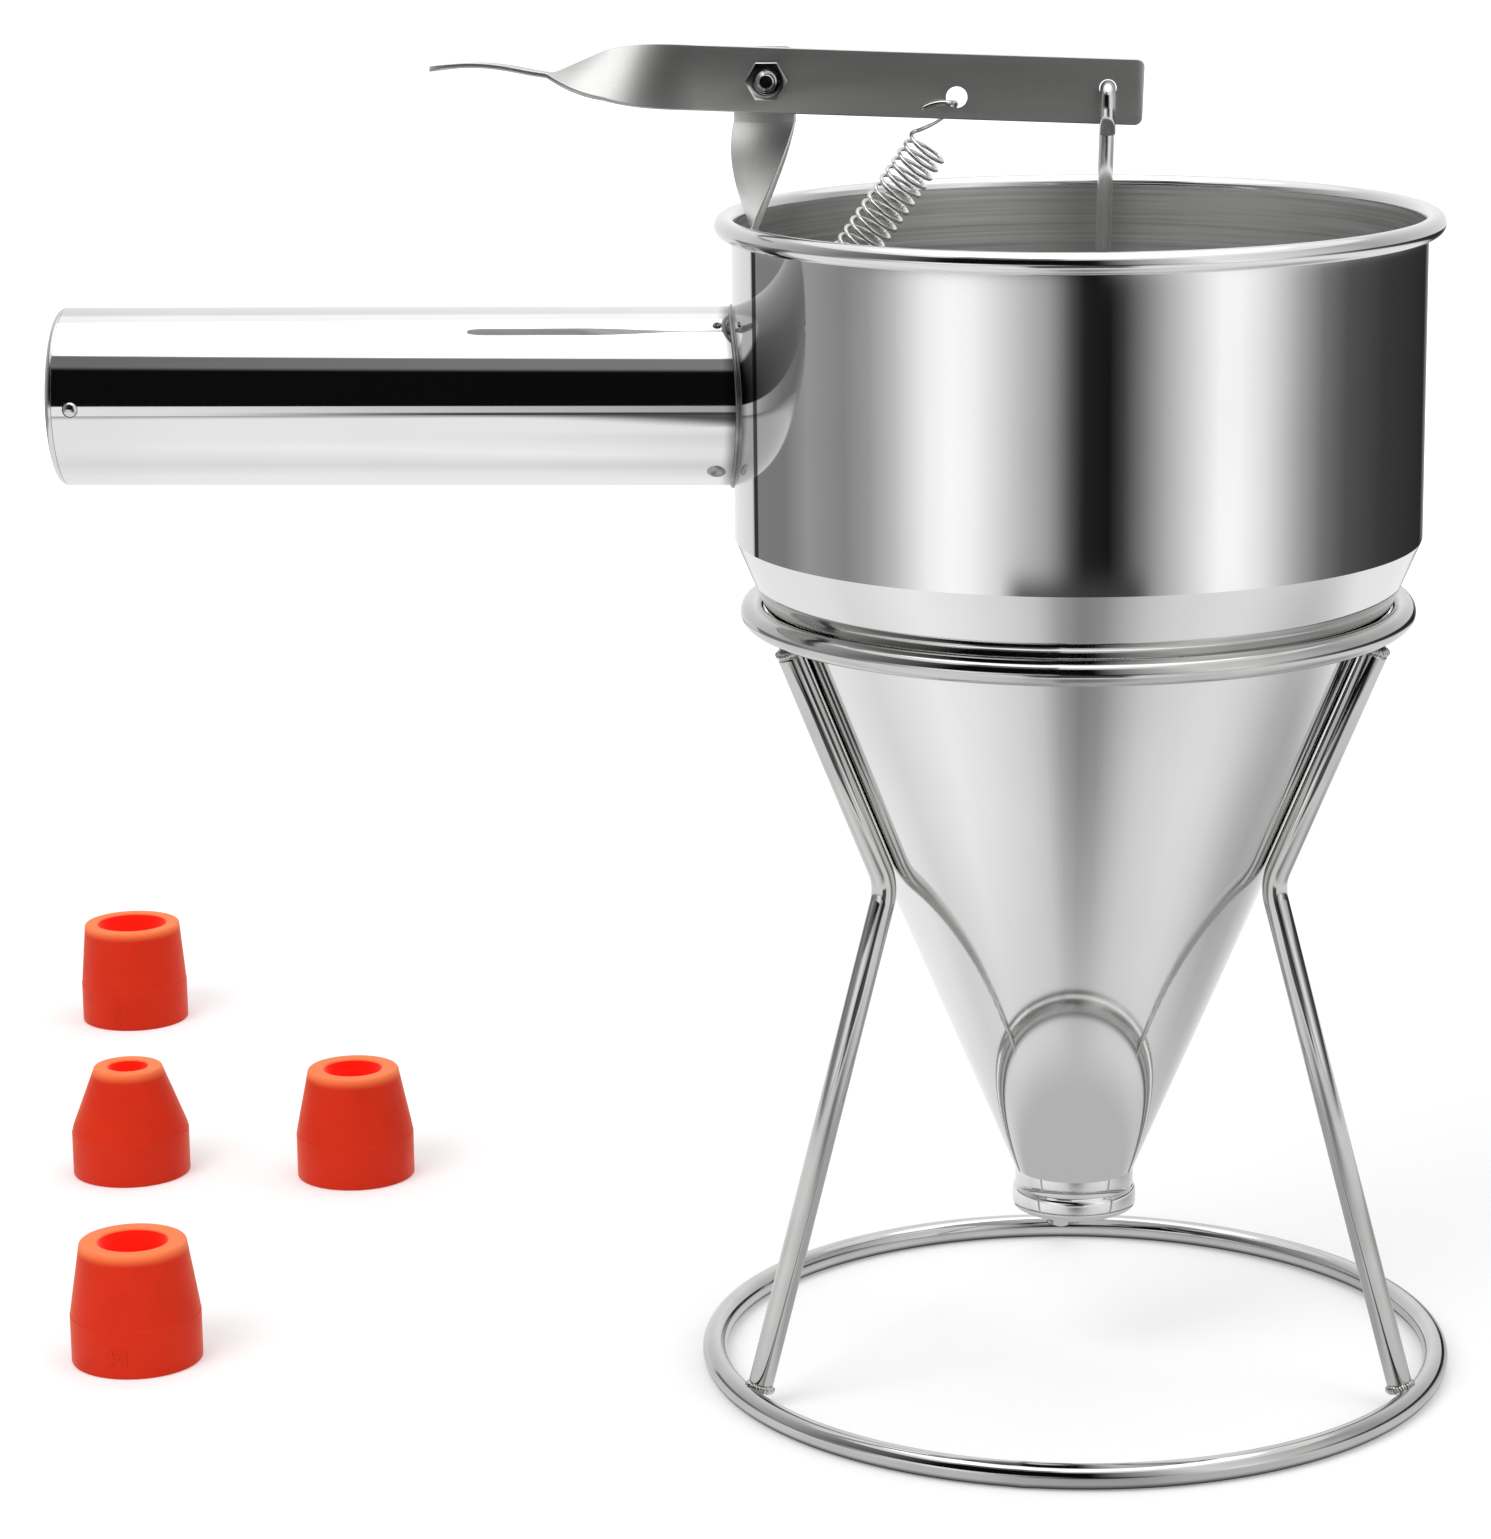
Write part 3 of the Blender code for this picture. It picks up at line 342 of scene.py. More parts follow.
# Painted contact shadow round the ring that lies on the floor, seen in steel only.
in_steel = layer(tree, in_steel, away_from(tree, reach, BASE_RING_REACH), RING_SHADOW_EDGES, RING_SHADOW_LIGHT)
matt = add_node(tree, "ShaderNodeBsdfDiffuse", {"Color": (0.82, 0.82, 0.82, 1)}).outputs[0]
strength = layer(tree, NEAR_GLOW, reach, GLOW_EDGES, FAR_GLOW)
glow = add_node(tree, "ShaderNodeEmission", {"Color": (1, 1, 1, 1), "Strength": strength}).outputs[0]
lit = add_node(tree, "ShaderNodeAddShader", {0: matt, 1: glow}).outputs[0]
mirrored = add_node(tree, "ShaderNodeEmission", {"Color": in_steel, "Strength": FLOOR_STRENGTH}).outputs[0]
rays = add_node(tree, "ShaderNodeLightPath").outputs
direct = add_node(tree, "ShaderNodeMixShader", {0: rays["Is Camera Ray"], 1: matt, 2: lit}).outputs[0]
shown = add_node(tree, "ShaderNodeMixShader", {0: rays["Is Glossy Ray"], 1: direct, 2: mirrored}).outputs[0]
add_node(tree, "ShaderNodeOutputMaterial", {"Surface": shown})

bm = bmesh.new()
bmesh.ops.create_circle(bm, cap_ends=True, segments=64, radius=FLOOR_SIZE)
floor = new_piece("floor", finished_mesh("floor", bm), [floor_paint])
floor.location = AXIS
print("floor radius", FLOOR_SIZE, "m")


# %% Soft lamps
def soft_lamp(name, place, size, power):
    """A square lamp that looks at the bowl. Reflections don't see it."""
    lamp = bpy.data.lights.new(name, "AREA")
    lamp.size = size
    lamp.energy = power
    holder = new_piece(name, lamp)
    aim = at(-60, 0, 110)
    holder.location = AXIS + Vector(place)
    holder.rotation_euler = (aim - holder.location).to_track_quat("-Z", "Y").to_euler()
    holder.visible_glossy = False
    holder.visible_camera = False


soft_lamp("key_lamp", (-0.9, -1.0, 1.5), 1.1, 13)
soft_lamp("fill_lamp", (1.3, -0.7, 1.1), 1.3, 6)
soft_lamp("top_lamp", (0.0, 0.3, 1.9), 1.4, 6)
print("three soft lamps")

# %% [markdown]
# ## Effects that several finishes share
# - Brush grain: fine lines that a belt leaves along one direction. The object's coordinates are
#   squeezed along the lines, so that noise turns into long streaks.
# - Handling marks: broad, faint changes of gloss where fingers and cloths have been, with a few
#   fine scratches.
# Each effect is a node group with named inputs. It gives out only numbers and colours, and the
# material keeps its own shader.

# %% Group helpers
def new_group(name, kind, inputs, outputs):
    """An empty node group with its (name, kind, value) sockets, and its two end nodes."""
    group = bpy.data.node_groups.new(name, kind)
    for way, sockets in (("INPUT", inputs), ("OUTPUT", outputs)):
        for label, holds, value in sockets:
            socket = group.interface.new_socket(name=label, in_out=way, socket_type="NodeSocket" + holds)
            if value is not None:
                socket.default_value = value
    return group, group.nodes.new("NodeGroupInput"), group.nodes.new("NodeGroupOutput")


def finish_group(name, pitch, roughness, shade):
    """A group for a finish. The pitch is a name and a value, the others are a value and its change."""
    inputs = [("Vector", "Vector", None), (pitch[0], "Float", pitch[1]), ("Roughness", "Float", roughness[0]),
              ("Roughness Change", "Float", roughness[1]), ("Shade", "Color", (*[shade[0]] * 3, 1)),
              ("Shade Change", "Float", shade[1])]
    outputs = [("Color", "Color", None), ("Roughness", "Float", None), ("Height", "Float", None)]
    return new_group(name, "ShaderNodeTree", inputs, outputs)


def noise(group, scale, detail, roughness, distortion=0.0):
    values = {"Vector": given.outputs["Vector"], "Scale": scale, "Detail": detail, "Roughness": roughness,
              "Distortion": distortion}
    return add_node(group, "ShaderNodeTexNoise", values).outputs["Fac"]


def give_out(group, change, height, brightness):
    """Roughness that follows a change, the height, and the shade times a brightness."""
    rough = sum_node(group, "MULTIPLY_ADD", change, given.outputs["Roughness Change"],
                     given.outputs["Roughness"])
    shade = scale_node(group, given.outputs["Shade"], brightness)
    for label, source in (("Roughness", rough), ("Height", height), ("Color", shade)):
        join(group, source, result.inputs[label])
    print(group.name, "has", len(group.nodes), "nodes")


# %% Brush grain group
brush_grain, given, result = finish_group("brush_grain", ("Fineness", 1.0), (0.3, 0.1), (0.6, 0.1))
fine = noise(brush_grain, given.outputs["Fineness"], 3.0, 0.6)
coarser = sum_node(brush_grain, "MULTIPLY", given.outputs["Fineness"], 0.17)
broad = sum_node(brush_grain, "MULTIPLY", noise(brush_grain, coarser, 2.0, 0.5), 0.3)
streaks = sum_node(brush_grain, "MULTIPLY_ADD", fine, 0.7, broad)
offset = sum_node(brush_grain, "SUBTRACT", streaks, 0.5)
lighten = sum_node(brush_grain, "MULTIPLY_ADD", offset, given.outputs["Shade Change"], 1.0)
give_out(brush_grain, offset, streaks, lighten)

# %% Handling marks group
handling_marks, given, result = finish_group("handling_marks", ("Patch Scale", 25.0), (0.04, 0.03),
                                             (0.8, 0.04))
patches = noise(handling_marks, given.outputs["Patch Scale"], 2.0, 0.55)
finer = sum_node(handling_marks, "MULTIPLY", given.outputs["Patch Scale"], 14.0)
specks = smooth_step(handling_marks, noise(handling_marks, finer, 5.0, 0.75, 1.2), 0.60, 0.76)
both = sum_node(handling_marks, "MULTIPLY_ADD", specks, 0.45,
                smooth_step(handling_marks, patches, 0.38, 0.68))
darker = sum_node(handling_marks, "MULTIPLY", both, given.outputs["Shade Change"])
give_out(handling_marks, both, both, sum_node(handling_marks, "SUBTRACT", 1.0, darker))

# %% [markdown]
# ## The finishes
# Five finishes cover the object: mirror polished sheet, brushed sheet, bright wire, plated small
# parts and silicone. Each piece gets a material of its own from one of these recipes, so that its
# grain can run its own way.


# %% Recipes for the finishes
def group_finish(name, group, group_values, squeeze, bump, metallic):
    """A Principled material whose colour, roughness and bump come from a shared group.

    squeeze is the grain's pitch along X, Y and Z, and bump its strength and depth."""
    material = bpy.data.materials.new(name)
    material.use_nodes = True
    tree = material.node_tree
    shader = tree.nodes["Principled BSDF"]
    shader.inputs["Metallic"].default_value = metallic
    place = add_node(tree, "ShaderNodeTexCoord").outputs["Object"]
    spread = {"Vector": place, "Location": -AXIS * squeeze[0], "Scale": squeeze}
    group_values["Vector"] = add_node(tree, "ShaderNodeMapping", spread).outputs[0]
    effect = add_node(tree, "ShaderNodeGroup", group_values, node_tree=group).outputs
    relief = {"Strength": bump[0], "Distance": bump[1], "Height": effect["Height"]}
    join(tree, effect["Color"], shader.inputs["Base Color"])
    join(tree, effect["Roughness"], shader.inputs["Roughness"])
    join(tree, add_node(tree, "ShaderNodeBump", relief).outputs[0], shader.inputs["Normal"])
    return material


def smooth_steel(name, shade, roughness, changes, tint, patches, bump):
    """Steel with handling marks. The changes are those of its roughness and of its shade."""
    values = {"Roughness": roughness, "Roughness Change": changes[0],
              "Shade": (shade, shade, shade * tint, 1),
              "Shade Change": changes[1], "Patch Scale": patches}
    return group_finish(name, handling_marks, values, (1, 1, 1), bump, 1)


def mirror_steel(name, shade=0.80, roughness=0.035):
    return smooth_steel(name, shade, roughness, (0.02, 0.04), 0.995, 22.0, (0.03, 0.00002))


def bright_wire(name, shade=0.60, roughness=0.05):
    return smooth_steel(name, shade, roughness, (0.06, 0.10), 0.99, 60.0, (0.06, 0.00002))


def plated_steel(name, shade=0.62, roughness=0.17):
    return smooth_steel(name, shade, roughness, (0.12, 0.35), 0.98, 160.0, (0.12, 0.00003))


def brushed_steel(name, squeeze, shade=0.55, roughness=0.30, change=0.25, depth=0.00002, streaks=0.6):
    values = {"Roughness": roughness, "Roughness Change": change, "Shade": (shade, shade, shade * 0.985, 1),
              "Shade Change": streaks, "Fineness": 1.0}
    return group_finish(name, brush_grain, values, squeeze, (0.25, depth), 1)


# Painted light: the lip at the top of a nozzle is painted lighter and more orange.
LIP_HEIGHT, LIT_LIP_PAINT = (0.0222, 0.0246), (1.0, 0.23, 0.075, 1)
SILICONE_LOOKS = {
    "Specular IOR Level": 0.14, "Sheen Weight": 0.55, "Sheen Roughness": 0.35,
    "Sheen Tint": (1.0, 0.34, 0.12, 1), "Subsurface Weight": 0.25, "Subsurface Radius": (1.0, 0.22, 0.10),
    "Subsurface Scale": 0.0016, "Emission Color": (1.0, 0.016, 0.008, 1),
}


def silicone(name, shade=(0.70, 0.028, 0.006, 1), lip_light=1.0, glow=0.0):
    """Red silicone. Its lip at the top is painted lighter and more orange, as painted light from above. The glow
    is painted light that stands for light that comes through the wall.
    """
    values = {"Roughness": 0.45, "Roughness Change": 0.10, "Shade": shade, "Shade Change": 0.06,
              "Patch Scale": 90.0}
    material = group_finish(name, handling_marks, values, (1, 1, 1), (0.06, 0.00004), 0)
    tree = material.node_tree
    shader = tree.nodes["Principled BSDF"]
    body = shader.inputs["Base Color"].links[0].from_socket
    lit_lip = smooth_step(tree, object_place(tree, AXIS)["Z"], *LIP_HEIGHT)
    lit_lip = sum_node(tree, "MULTIPLY", lit_lip, lip_light)
    join(tree, blend_colors(tree, lit_lip, body, LIT_LIP_PAINT), shader.inputs["Base Color"])
    for label, value in SILICONE_LOOKS.items():
        shader.inputs[label].default_value = value
    shader.inputs["Emission Strength"].default_value = glow
    return material


def scale_color(material, factor):
    """Multiply a material's colour by a number."""
    tree = material.node_tree
    color = tree.nodes["Principled BSDF"].inputs["Base Color"]
    join(tree, scale_node(tree, color.links[0].from_socket, factor), color)


def seam_and_painted_reflection(material, degrees, half_width):
    """A seam straight down a round wall, at an angle from the camera's side, painted near black as a painted
    reflection of a dark card.
    """
    tree = material.node_tree
    away = away_from(tree, round_angle(tree, object_place(tree, AXIS)), math.radians(degrees))
    keep = smooth_step(tree, away, math.radians(half_width * 0.6), math.radians(half_width))
    scale_color(material, sum_node(tree, "MAXIMUM", keep, 0.01))


def painted_light_round(material, stops):
    """Painted light and reflection: a shade that changes with the direction round the axis."""
    tree = material.node_tree
    share = round_share(tree, object_place(tree, AXIS))
    scale_color(material, ramp_node(tree, share, screen_stops(stops)))


def painted_shade_in_mirrors(material, keep):
    """Painted shade: steel's colour is darker in rays that come from another polished piece."""
    tree = material.node_tree
    rays = add_node(tree, "ShaderNodeLightPath")
    scale_color(material, blend_values(tree, rays.outputs["Is Glossy Ray"], 1.0, keep))


def painted_shade_by_wall(material, reach, keep):
    """Painted shade: darken a piece close to the bowl's wall, at the joint."""
    tree = material.node_tree
    away = round_reach(tree, object_place(tree, AXIS))
    edges = ((BOWL_R + 0.4) * MM, (BOWL_R + reach) * MM)
    scale_color(material, layer(tree, keep, away, edges, 1.0))


print("five recipes")

# %% [markdown]
# ## Turned pieces
# The bowl, the cone, the neck, the handle's cap, the stopper and the nozzles are all round, so each
# is a profile turned about an axis. The mesh is built here point by point, with far more steps than
# the CAD solid, because a mirror shows every flat facet. Sharp edges are kept by angle.


# %% Lathe
def outward(mesh, merge=False):
    """Point the faces outwards, after merging points that lie on each other."""
    bm = bmesh.new()
    bm.from_mesh(mesh)
    if merge:
        bmesh.ops.remove_doubles(bm, verts=bm.verts, dist=0.000001)
    bmesh.ops.recalc_face_normals(bm, faces=bm.faces)
    bm.to_mesh(mesh)
    bm.free()


def tidy_mesh(mesh, angle=35):
    """Point the faces outwards and keep the edges over an angle sharp."""
    outward(mesh, merge=True)
    mesh.shade_smooth()
    mesh.set_sharp_from_angle(angle=math.radians(angle))


def lathe(name, profile, place, materials, steps=256, turn=Matrix.Identity(4)):
    """Turn a closed profile of (radius, height, material number) in millimetres about an axis."""
    points, faces, slots, rings = [], [], [], []
    for radius, height, slot in profile:
        count = 1 if radius < 1e-6 else steps
        rings.append((len(points), count))
        for i in range(count):
            angle = math.tau * i / steps
            points.append((radius * MM * math.sin(angle), -radius * MM * math.cos(angle), height * MM))
    for k, (radius, height, slot) in enumerate(profile):
        first, first_count = rings[k]
        second, second_count = rings[(k + 1) % len(profile)]
        if first_count == second_count == 1:
            continue
        for i in range(steps):
            j = (i + 1) % steps
            corners = [first + i % first_count, first + j % first_count,
                       second + j % second_count, second + i % second_count]
            faces.append(list(dict.fromkeys(corners)))
            slots.append(slot)
    mesh = bpy.data.meshes.new(name)
    mesh.from_pydata(points, [], faces)
    mesh.polygons.foreach_set("material_index", slots)
    mesh.transform(Matrix.Translation(place) @ turn)
    piece = new_piece(name, mesh, materials)
    tidy_mesh(mesh)
    return piece


def skin(name, rows, materials, angle=35):
    """A closed skin through rows of points. The last row joins the first."""
    count = len(rows[0])
    faces = []
    for k in range(len(rows)):
        m = (k + 1) % len(rows)
        for i in range(count):
            j = (i + 1) % count
            faces.append([k * count + i, k * count + j, m * count + j, m * count + i])
    mesh = bpy.data.meshes.new(name)
    mesh.from_pydata([point for row in rows for point in row], [], faces)
    piece = new_piece(name, mesh, materials)
    tidy_mesh(mesh, angle)
    return piece


def arc(centre, radius, start, end, stations, slot=0):
    """Profile points on an arc, from one angle in degrees to another."""
    points = []
    for i in range(stations + 1):
        angle = math.radians(start + (end - start) * i / stations)
        points.append((centre[0] + radius * math.cos(angle), centre[1] + radius * math.sin(angle), slot))
    return points


def belongs(piece, body, *nodes):
    """The piece moves with its body, and stands for the CAD nodes that it replaces."""
    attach(piece, body)
    for node in nodes:
        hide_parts(node)
    return piece


ALONG_MINUS_X = Matrix.Rotation(math.radians(-90), 4, "Y")
ALONG_MINUS_Y = Matrix.Rotation(math.radians(90), 4, "X")

# %% [markdown]
# ## The bowl's wall
# It is one sheet of steel, 0.8 mm thick. Outside it is polished like a mirror, inside it is brushed
# round, and at the rim the sheet rolls outwards into a curl that hides its cut edge. The profile
# follows the sheet up, round the curl, and back, so that the small gap under the curl is real. The
# wall's two edges meet in an upright seam near the handle, painted as a thin black line that is
# also a painted reflection of a dark card.

# %% Bowl wall
SHEET = 0.8
BOWL_R = 65.0
CONE_TOP, RIM_TOP = 165.0, 226.0
CURL_R = 2.0
OUTSIDE, INSIDE, RIM = 0, 1, 2
curl = (BOWL_R - SHEET + CURL_R, RIM_TOP - CURL_R)
CURL_END = -118
bowl_profile = [(BOWL_R, CONE_TOP, OUTSIDE), (BOWL_R, curl[1] - 1.5, OUTSIDE)]
bowl_profile += arc(curl, CURL_R - SHEET, 180, CURL_END, 20, RIM)
bowl_profile += arc(curl, CURL_R, CURL_END, 180, 40, RIM)
bowl_profile[-1] = (*bowl_profile[-1][:2], INSIDE)
bowl_profile += [(BOWL_R - SHEET, CONE_TOP, OUTSIDE)]
bowl_outside = mirror_steel("bowl_polished")
# The seam is painted near black: a painted reflection of a dark card.
seam_and_painted_reflection(bowl_outside, -65.3, 1.15)
bowl_inside = brushed_steel("bowl_brushed", (16, 16, 1500), shade=0.97, roughness=0.33, streaks=1.5)
# Painted light and reflection on the brushed inside: lighter at the back right, with a darker notch at the back
# where the rod is mirrored.
painted_light_round(bowl_inside, ((-180, 0.52), (-172, 0.66), (-140, 0.64), (-120, 0.50), (-100, 0.72), (100, 0.72),
                          (122, 0.90), (140, 1.0), (160, 1.0), (169, 0.80), (174, 0.50), (180, 0.52)))
rim_steel = mirror_steel("rim_polished", shade=0.76, roughness=0.10)
bowl = lathe("bowl_sheet", bowl_profile, AXIS, [bowl_outside, bowl_inside, rim_steel], steps=320)
belongs(bowl, "funnel", "bowl_wall")
print("bowl:", len(bowl.data.polygons), "faces")

# %% [markdown]
# ## The cone and the outlet neck
# The cone is rolled from the same sheet and meets the wall in a crisp edge. The neck is a short
# tube with a bead pressed outwards near its end, over which the silicone nozzles snap.

# %% Cone
NECK_R, NECK_TOP, NECK_BOTTOM = 11.5, 39.0, 31.0
cone_profile = [(BOWL_R, CONE_TOP, OUTSIDE), (NECK_R, NECK_TOP, INSIDE),
                (NECK_R - SHEET, NECK_TOP, INSIDE), (BOWL_R - SHEET, CONE_TOP, INSIDE)]
cone_outside = mirror_steel("cone_polished", roughness=0.045)
cone_inside = brushed_steel("cone_brushed", (16, 16, 1500), shade=0.58, roughness=0.33)
cone = lathe("cone_sheet", cone_profile, AXIS, [cone_outside, cone_inside], steps=320)
belongs(cone, "funnel", "funnel_cone")

# %% Neck
BEAD_BULGE, BEAD_HALF, BEAD_MIDDLE = 0.55, 2.0, 33.4
neck_profile = [(NECK_R, NECK_TOP, 0), (NECK_R, BEAD_MIDDLE + BEAD_HALF + 0.5, 0),
                (NECK_R - 0.12, BEAD_MIDDLE + BEAD_HALF + 0.15, 0)]
for i in range(17):
    angle = math.pi * (0.5 - i / 16)
    flat = abs(math.cos(angle)) ** 0.6
    neck_profile.append((NECK_R + BEAD_BULGE * flat, BEAD_MIDDLE + BEAD_HALF * math.sin(angle), 0))
neck_profile += [(NECK_R - 0.45, NECK_BOTTOM + 0.03, 0), (NECK_R - SHEET + 0.1, NECK_BOTTOM, 0),
                 (NECK_R - SHEET, NECK_BOTTOM + 0.1, 1), (NECK_R - SHEET, NECK_TOP, 0)]
neck = lathe("neck_tube", neck_profile, AXIS,
             [mirror_steel("neck_polished", roughness=0.06), brushed_steel("neck_inside", (16, 16, 1500))])
belongs(neck, "funnel", "outlet_neck")
print("cone and neck:", len(cone.data.polygons) + len(neck.data.polygons), "faces")

# %% [markdown]
# ## The handle
# The handle is a tube whose end is cut to the bowl's curve. Its mesh is built row by row: the row at
# the bowl follows the saddle where a tube meets a cylinder. A hole near the free end let gas out
# while it was welded, and a disc with a short rolled edge closes the tube.

# %% Handle tube
HANDLE_R, HANDLE_WALL, HANDLE_Z = 17.0, 1.0, 191.1
HANDLE_END, CAP_THICKNESS = 194.0, 1.5
TUBE_STEPS = 240


def saddle_x(y, clearance=0.0):
    """How far left of the axis the bowl's outside is, at a distance y in front of it."""
    return -math.sqrt((BOWL_R + clearance) ** 2 - y ** 2)


def tube_rows(radius, xs):
    """Rows of points round the handle. The first row is the saddle."""
    rows = []
    for x in xs:
        row = []
        for i in range(TUBE_STEPS):
            angle = math.tau * i / TUBE_STEPS
            y, z = -radius * math.cos(angle), radius * math.sin(angle)
            row.append(at(saddle_x(y, 0.3) if x is None else x, y, HANDLE_Z + z))
        rows.append(row)
    return rows


outer_xs = [None, -70, -100, -140, -180] + [-185.5 - 0.5 * i for i in range(14)] + [-192.58]
tube_sections = tube_rows(HANDLE_R, outer_xs) + tube_rows(HANDLE_R - 0.05, [-192.62])
tube_sections += tube_rows(HANDLE_R - HANDLE_WALL, [-192.62, -120, None])
handle_steel = mirror_steel("handle_polished", shade=0.82, roughness=0.03)
# Painted shade on the handle close to the bowl's wall.
painted_shade_by_wall(handle_steel, 3.0, 0.35)
# Painted shade: the handle is darker where the bowl mirrors it.
painted_shade_in_mirrors(handle_steel, 0.56)
handle = skin("handle_shell", tube_sections, [handle_steel])


# %% A drill for round holes along Y
def drill(piece, x, y, z, radius, length, sides=40):
    """Cut a round hole through a piece, along Y."""
    bm = bmesh.new()
    bmesh.ops.create_cone(bm, cap_ends=True, segments=sides, radius1=radius * MM, radius2=radius * MM,
                          depth=length * MM, matrix=Matrix.Translation(at(x, y, z)) @ ALONG_MINUS_Y)
    cutter = new_piece("cutter", finished_mesh("cutter", bm))
    modifier = piece.modifiers.new("hole", "BOOLEAN")
    modifier.operation = "DIFFERENCE"
    modifier.solver = "EXACT"
    modifier.object = cutter
    made, old = evaluated_mesh(piece), piece.data
    piece.modifiers.clear()
    piece.data = made
    bpy.data.meshes.remove(old)
    bpy.data.objects.remove(cutter)
    made.shade_smooth()
    made.set_sharp_from_angle(angle=math.radians(35))


drill(handle, -189.0, -HANDLE_R, HANDLE_Z, 1.5, 6)
belongs(handle, "funnel", "handle_tube")
print("handle:", len(handle.data.polygons), "faces")

# %% Handle cap
cap_place = at(0, 0, HANDLE_Z)
band = HANDLE_END - CAP_THICKNESS + 0.15
cap_profile = [(0, HANDLE_END - 0.25, 0), (HANDLE_R - 5, HANDLE_END - 0.05, 0)]
cap_profile += arc((HANDLE_R - 1.2, HANDLE_END - 1.2), 1.2, 90, 0, 12)
cap_profile += [(HANDLE_R, band + 0.04, 0), (HANDLE_R - 0.05, band, 0),
                (HANDLE_R - HANDLE_WALL - 0.3, band, 0),
                (HANDLE_R - HANDLE_WALL - 0.3, band - 1, 0), (0, band - 1, 0)]
cap = lathe("handle_disc", cap_profile, cap_place, [mirror_steel("cap_polished", shade=0.74, roughness=0.16)],
            steps=192, turn=ALONG_MINUS_X)
belongs(cap, "funnel", "handle_end_cap")

# %% [markdown]
# ## A wire tool in Geometry Nodes
# The stand, the rod, the spring and its eye are all wire, and so is the weld round the handle. One
# tree turns a guide line into round wire: a circle is swept along it, and the tree's inputs are the
# wire's radius, its number of sides and its finish. Each use becomes a plain mesh straight away.

# %% Round wire tree
def end_of_tree(tree, geometry):
    """How every tree ends: smooth shading, instances made real, and the finish."""
    smooth = add_node(tree, "GeometryNodeSetShadeSmooth", {"Geometry": geometry})
    real = add_node(tree, "GeometryNodeRealizeInstances", {"Geometry": smooth.outputs["Geometry"]})
    values = {"Geometry": real.outputs["Geometry"], "Material": given.outputs["Finish"]}
    coat = add_node(tree, "GeometryNodeSetMaterial", values)
    join(tree, coat.outputs["Geometry"], result.inputs[0])


wire_tree, given, result = new_group(
    "round_wire", "GeometryNodeTree",
    [("Guide", "Geometry", None), ("Wire Radius", "Float", 0.001), ("Sides", "Int", 24),
     ("Finish", "Material", None)],
    [("Wire", "Geometry", None)])
section = add_node(wire_tree, "GeometryNodeCurvePrimitiveCircle",
                   {"Resolution": given.outputs["Sides"], "Radius": given.outputs["Wire Radius"]})
thickness = add_node(wire_tree, "GeometryNodeInputRadius")
sweep = add_node(wire_tree, "GeometryNodeCurveToMesh",
                 {"Curve": given.outputs["Guide"], "Profile Curve": section.outputs["Curve"],
                  "Scale": thickness.outputs[0], "Fill Caps": True})
end_of_tree(wire_tree, sweep.outputs["Mesh"])


# %% Run a tree along a guide
def run_along(name, tree, points, values, cyclic=False, radii=None):
    """Make a guide line, run the tree on it, and keep the result as a plain mesh."""
    guide_curve = bpy.data.curves.new(name, "CURVE")
    guide_curve.dimensions = "3D"
    guide_curve.twist_mode = "MINIMUM"
    spline = guide_curve.splines.new("POLY")
    spline.points.add(len(points) - 1)
    for i, point in enumerate(points):
        spline.points[i].co = (*point, 1)
        spline.points[i].radius = 1.0 if radii is None else radii[i]
    spline.use_cyclic_u = cyclic
    guide = new_piece(name + "_guide", guide_curve)
    modifier = guide.modifiers.new("tree", "NODES")
    modifier.node_group = tree
    for item in tree.interface.items_tree:
        if item.item_type == "SOCKET" and item.in_out == "INPUT" and item.name in values:
            modifier[item.identifier] = values[item.name]
    mesh = evaluated_mesh(guide)
    mesh.name = name
    bpy.data.objects.remove(guide)
    bpy.data.curves.remove(guide_curve)
    return new_piece(name, mesh)


def eased_ends(points, radius, ease=0.25):
    """Extra points near both ends, with smaller radii, which round off the wire's cut ends."""
    start_way = (points[1] - points[0]).normalized()
    end_way = (points[-2] - points[-1]).normalized()
    step = ease * radius * MM
    start = [points[0], points[0] + start_way * step * 0.35, points[0] + start_way * step]
    end = [points[-1] + end_way * step, points[-1] + end_way * step * 0.35, points[-1]]
    shrink = [1 - ease, 1 - 0.35 * ease, 1.0]
    return start + list(points[1:-1]) + end, shrink + [1.0] * (len(points) - 2) + shrink[::-1]


def wire(name, points, radius, finish, sides=32, cyclic=False, radii=None):
    """A wire of a radius in millimetres along points of the room."""
    if not cyclic and radii is None:
        points, radii = eased_ends(points, radius)
    values = {"Wire Radius": radius * MM, "Sides": sides, "Finish": finish}
    piece = run_along(name, wire_tree, points, values, cyclic, radii)
    outward(piece.data)
    piece.data.set_sharp_from_angle(angle=math.radians(40))
    return piece


# %% [markdown]
# ## The stand
# Two wire rings and three bent legs. The lower ring lies on the table. The upper ring carries the
# cone. Each leg runs down beside the cone, bends at its waist and spreads to the lower ring. A ring's
# two ends were butt welded and ground, which leaves a slight swelling.

# %% Rings
WIRE_R = 2.4
BASE_R, TOP_R = 70.9, 61.7
SLOPE = (BOWL_R - NECK_R) / (CONE_TOP - NECK_TOP)
CONE_ANGLE = math.atan(SLOPE)


def cone_touch(radius):
    """The height of a wire's middle where it touches the cone, at a radius."""
    away = WIRE_R + 0.3
    cone_radius = radius - away * math.cos(CONE_ANGLE)
    return NECK_TOP + 0.3 + (cone_radius - NECK_R) / SLOPE - away * math.sin(CONE_ANGLE)


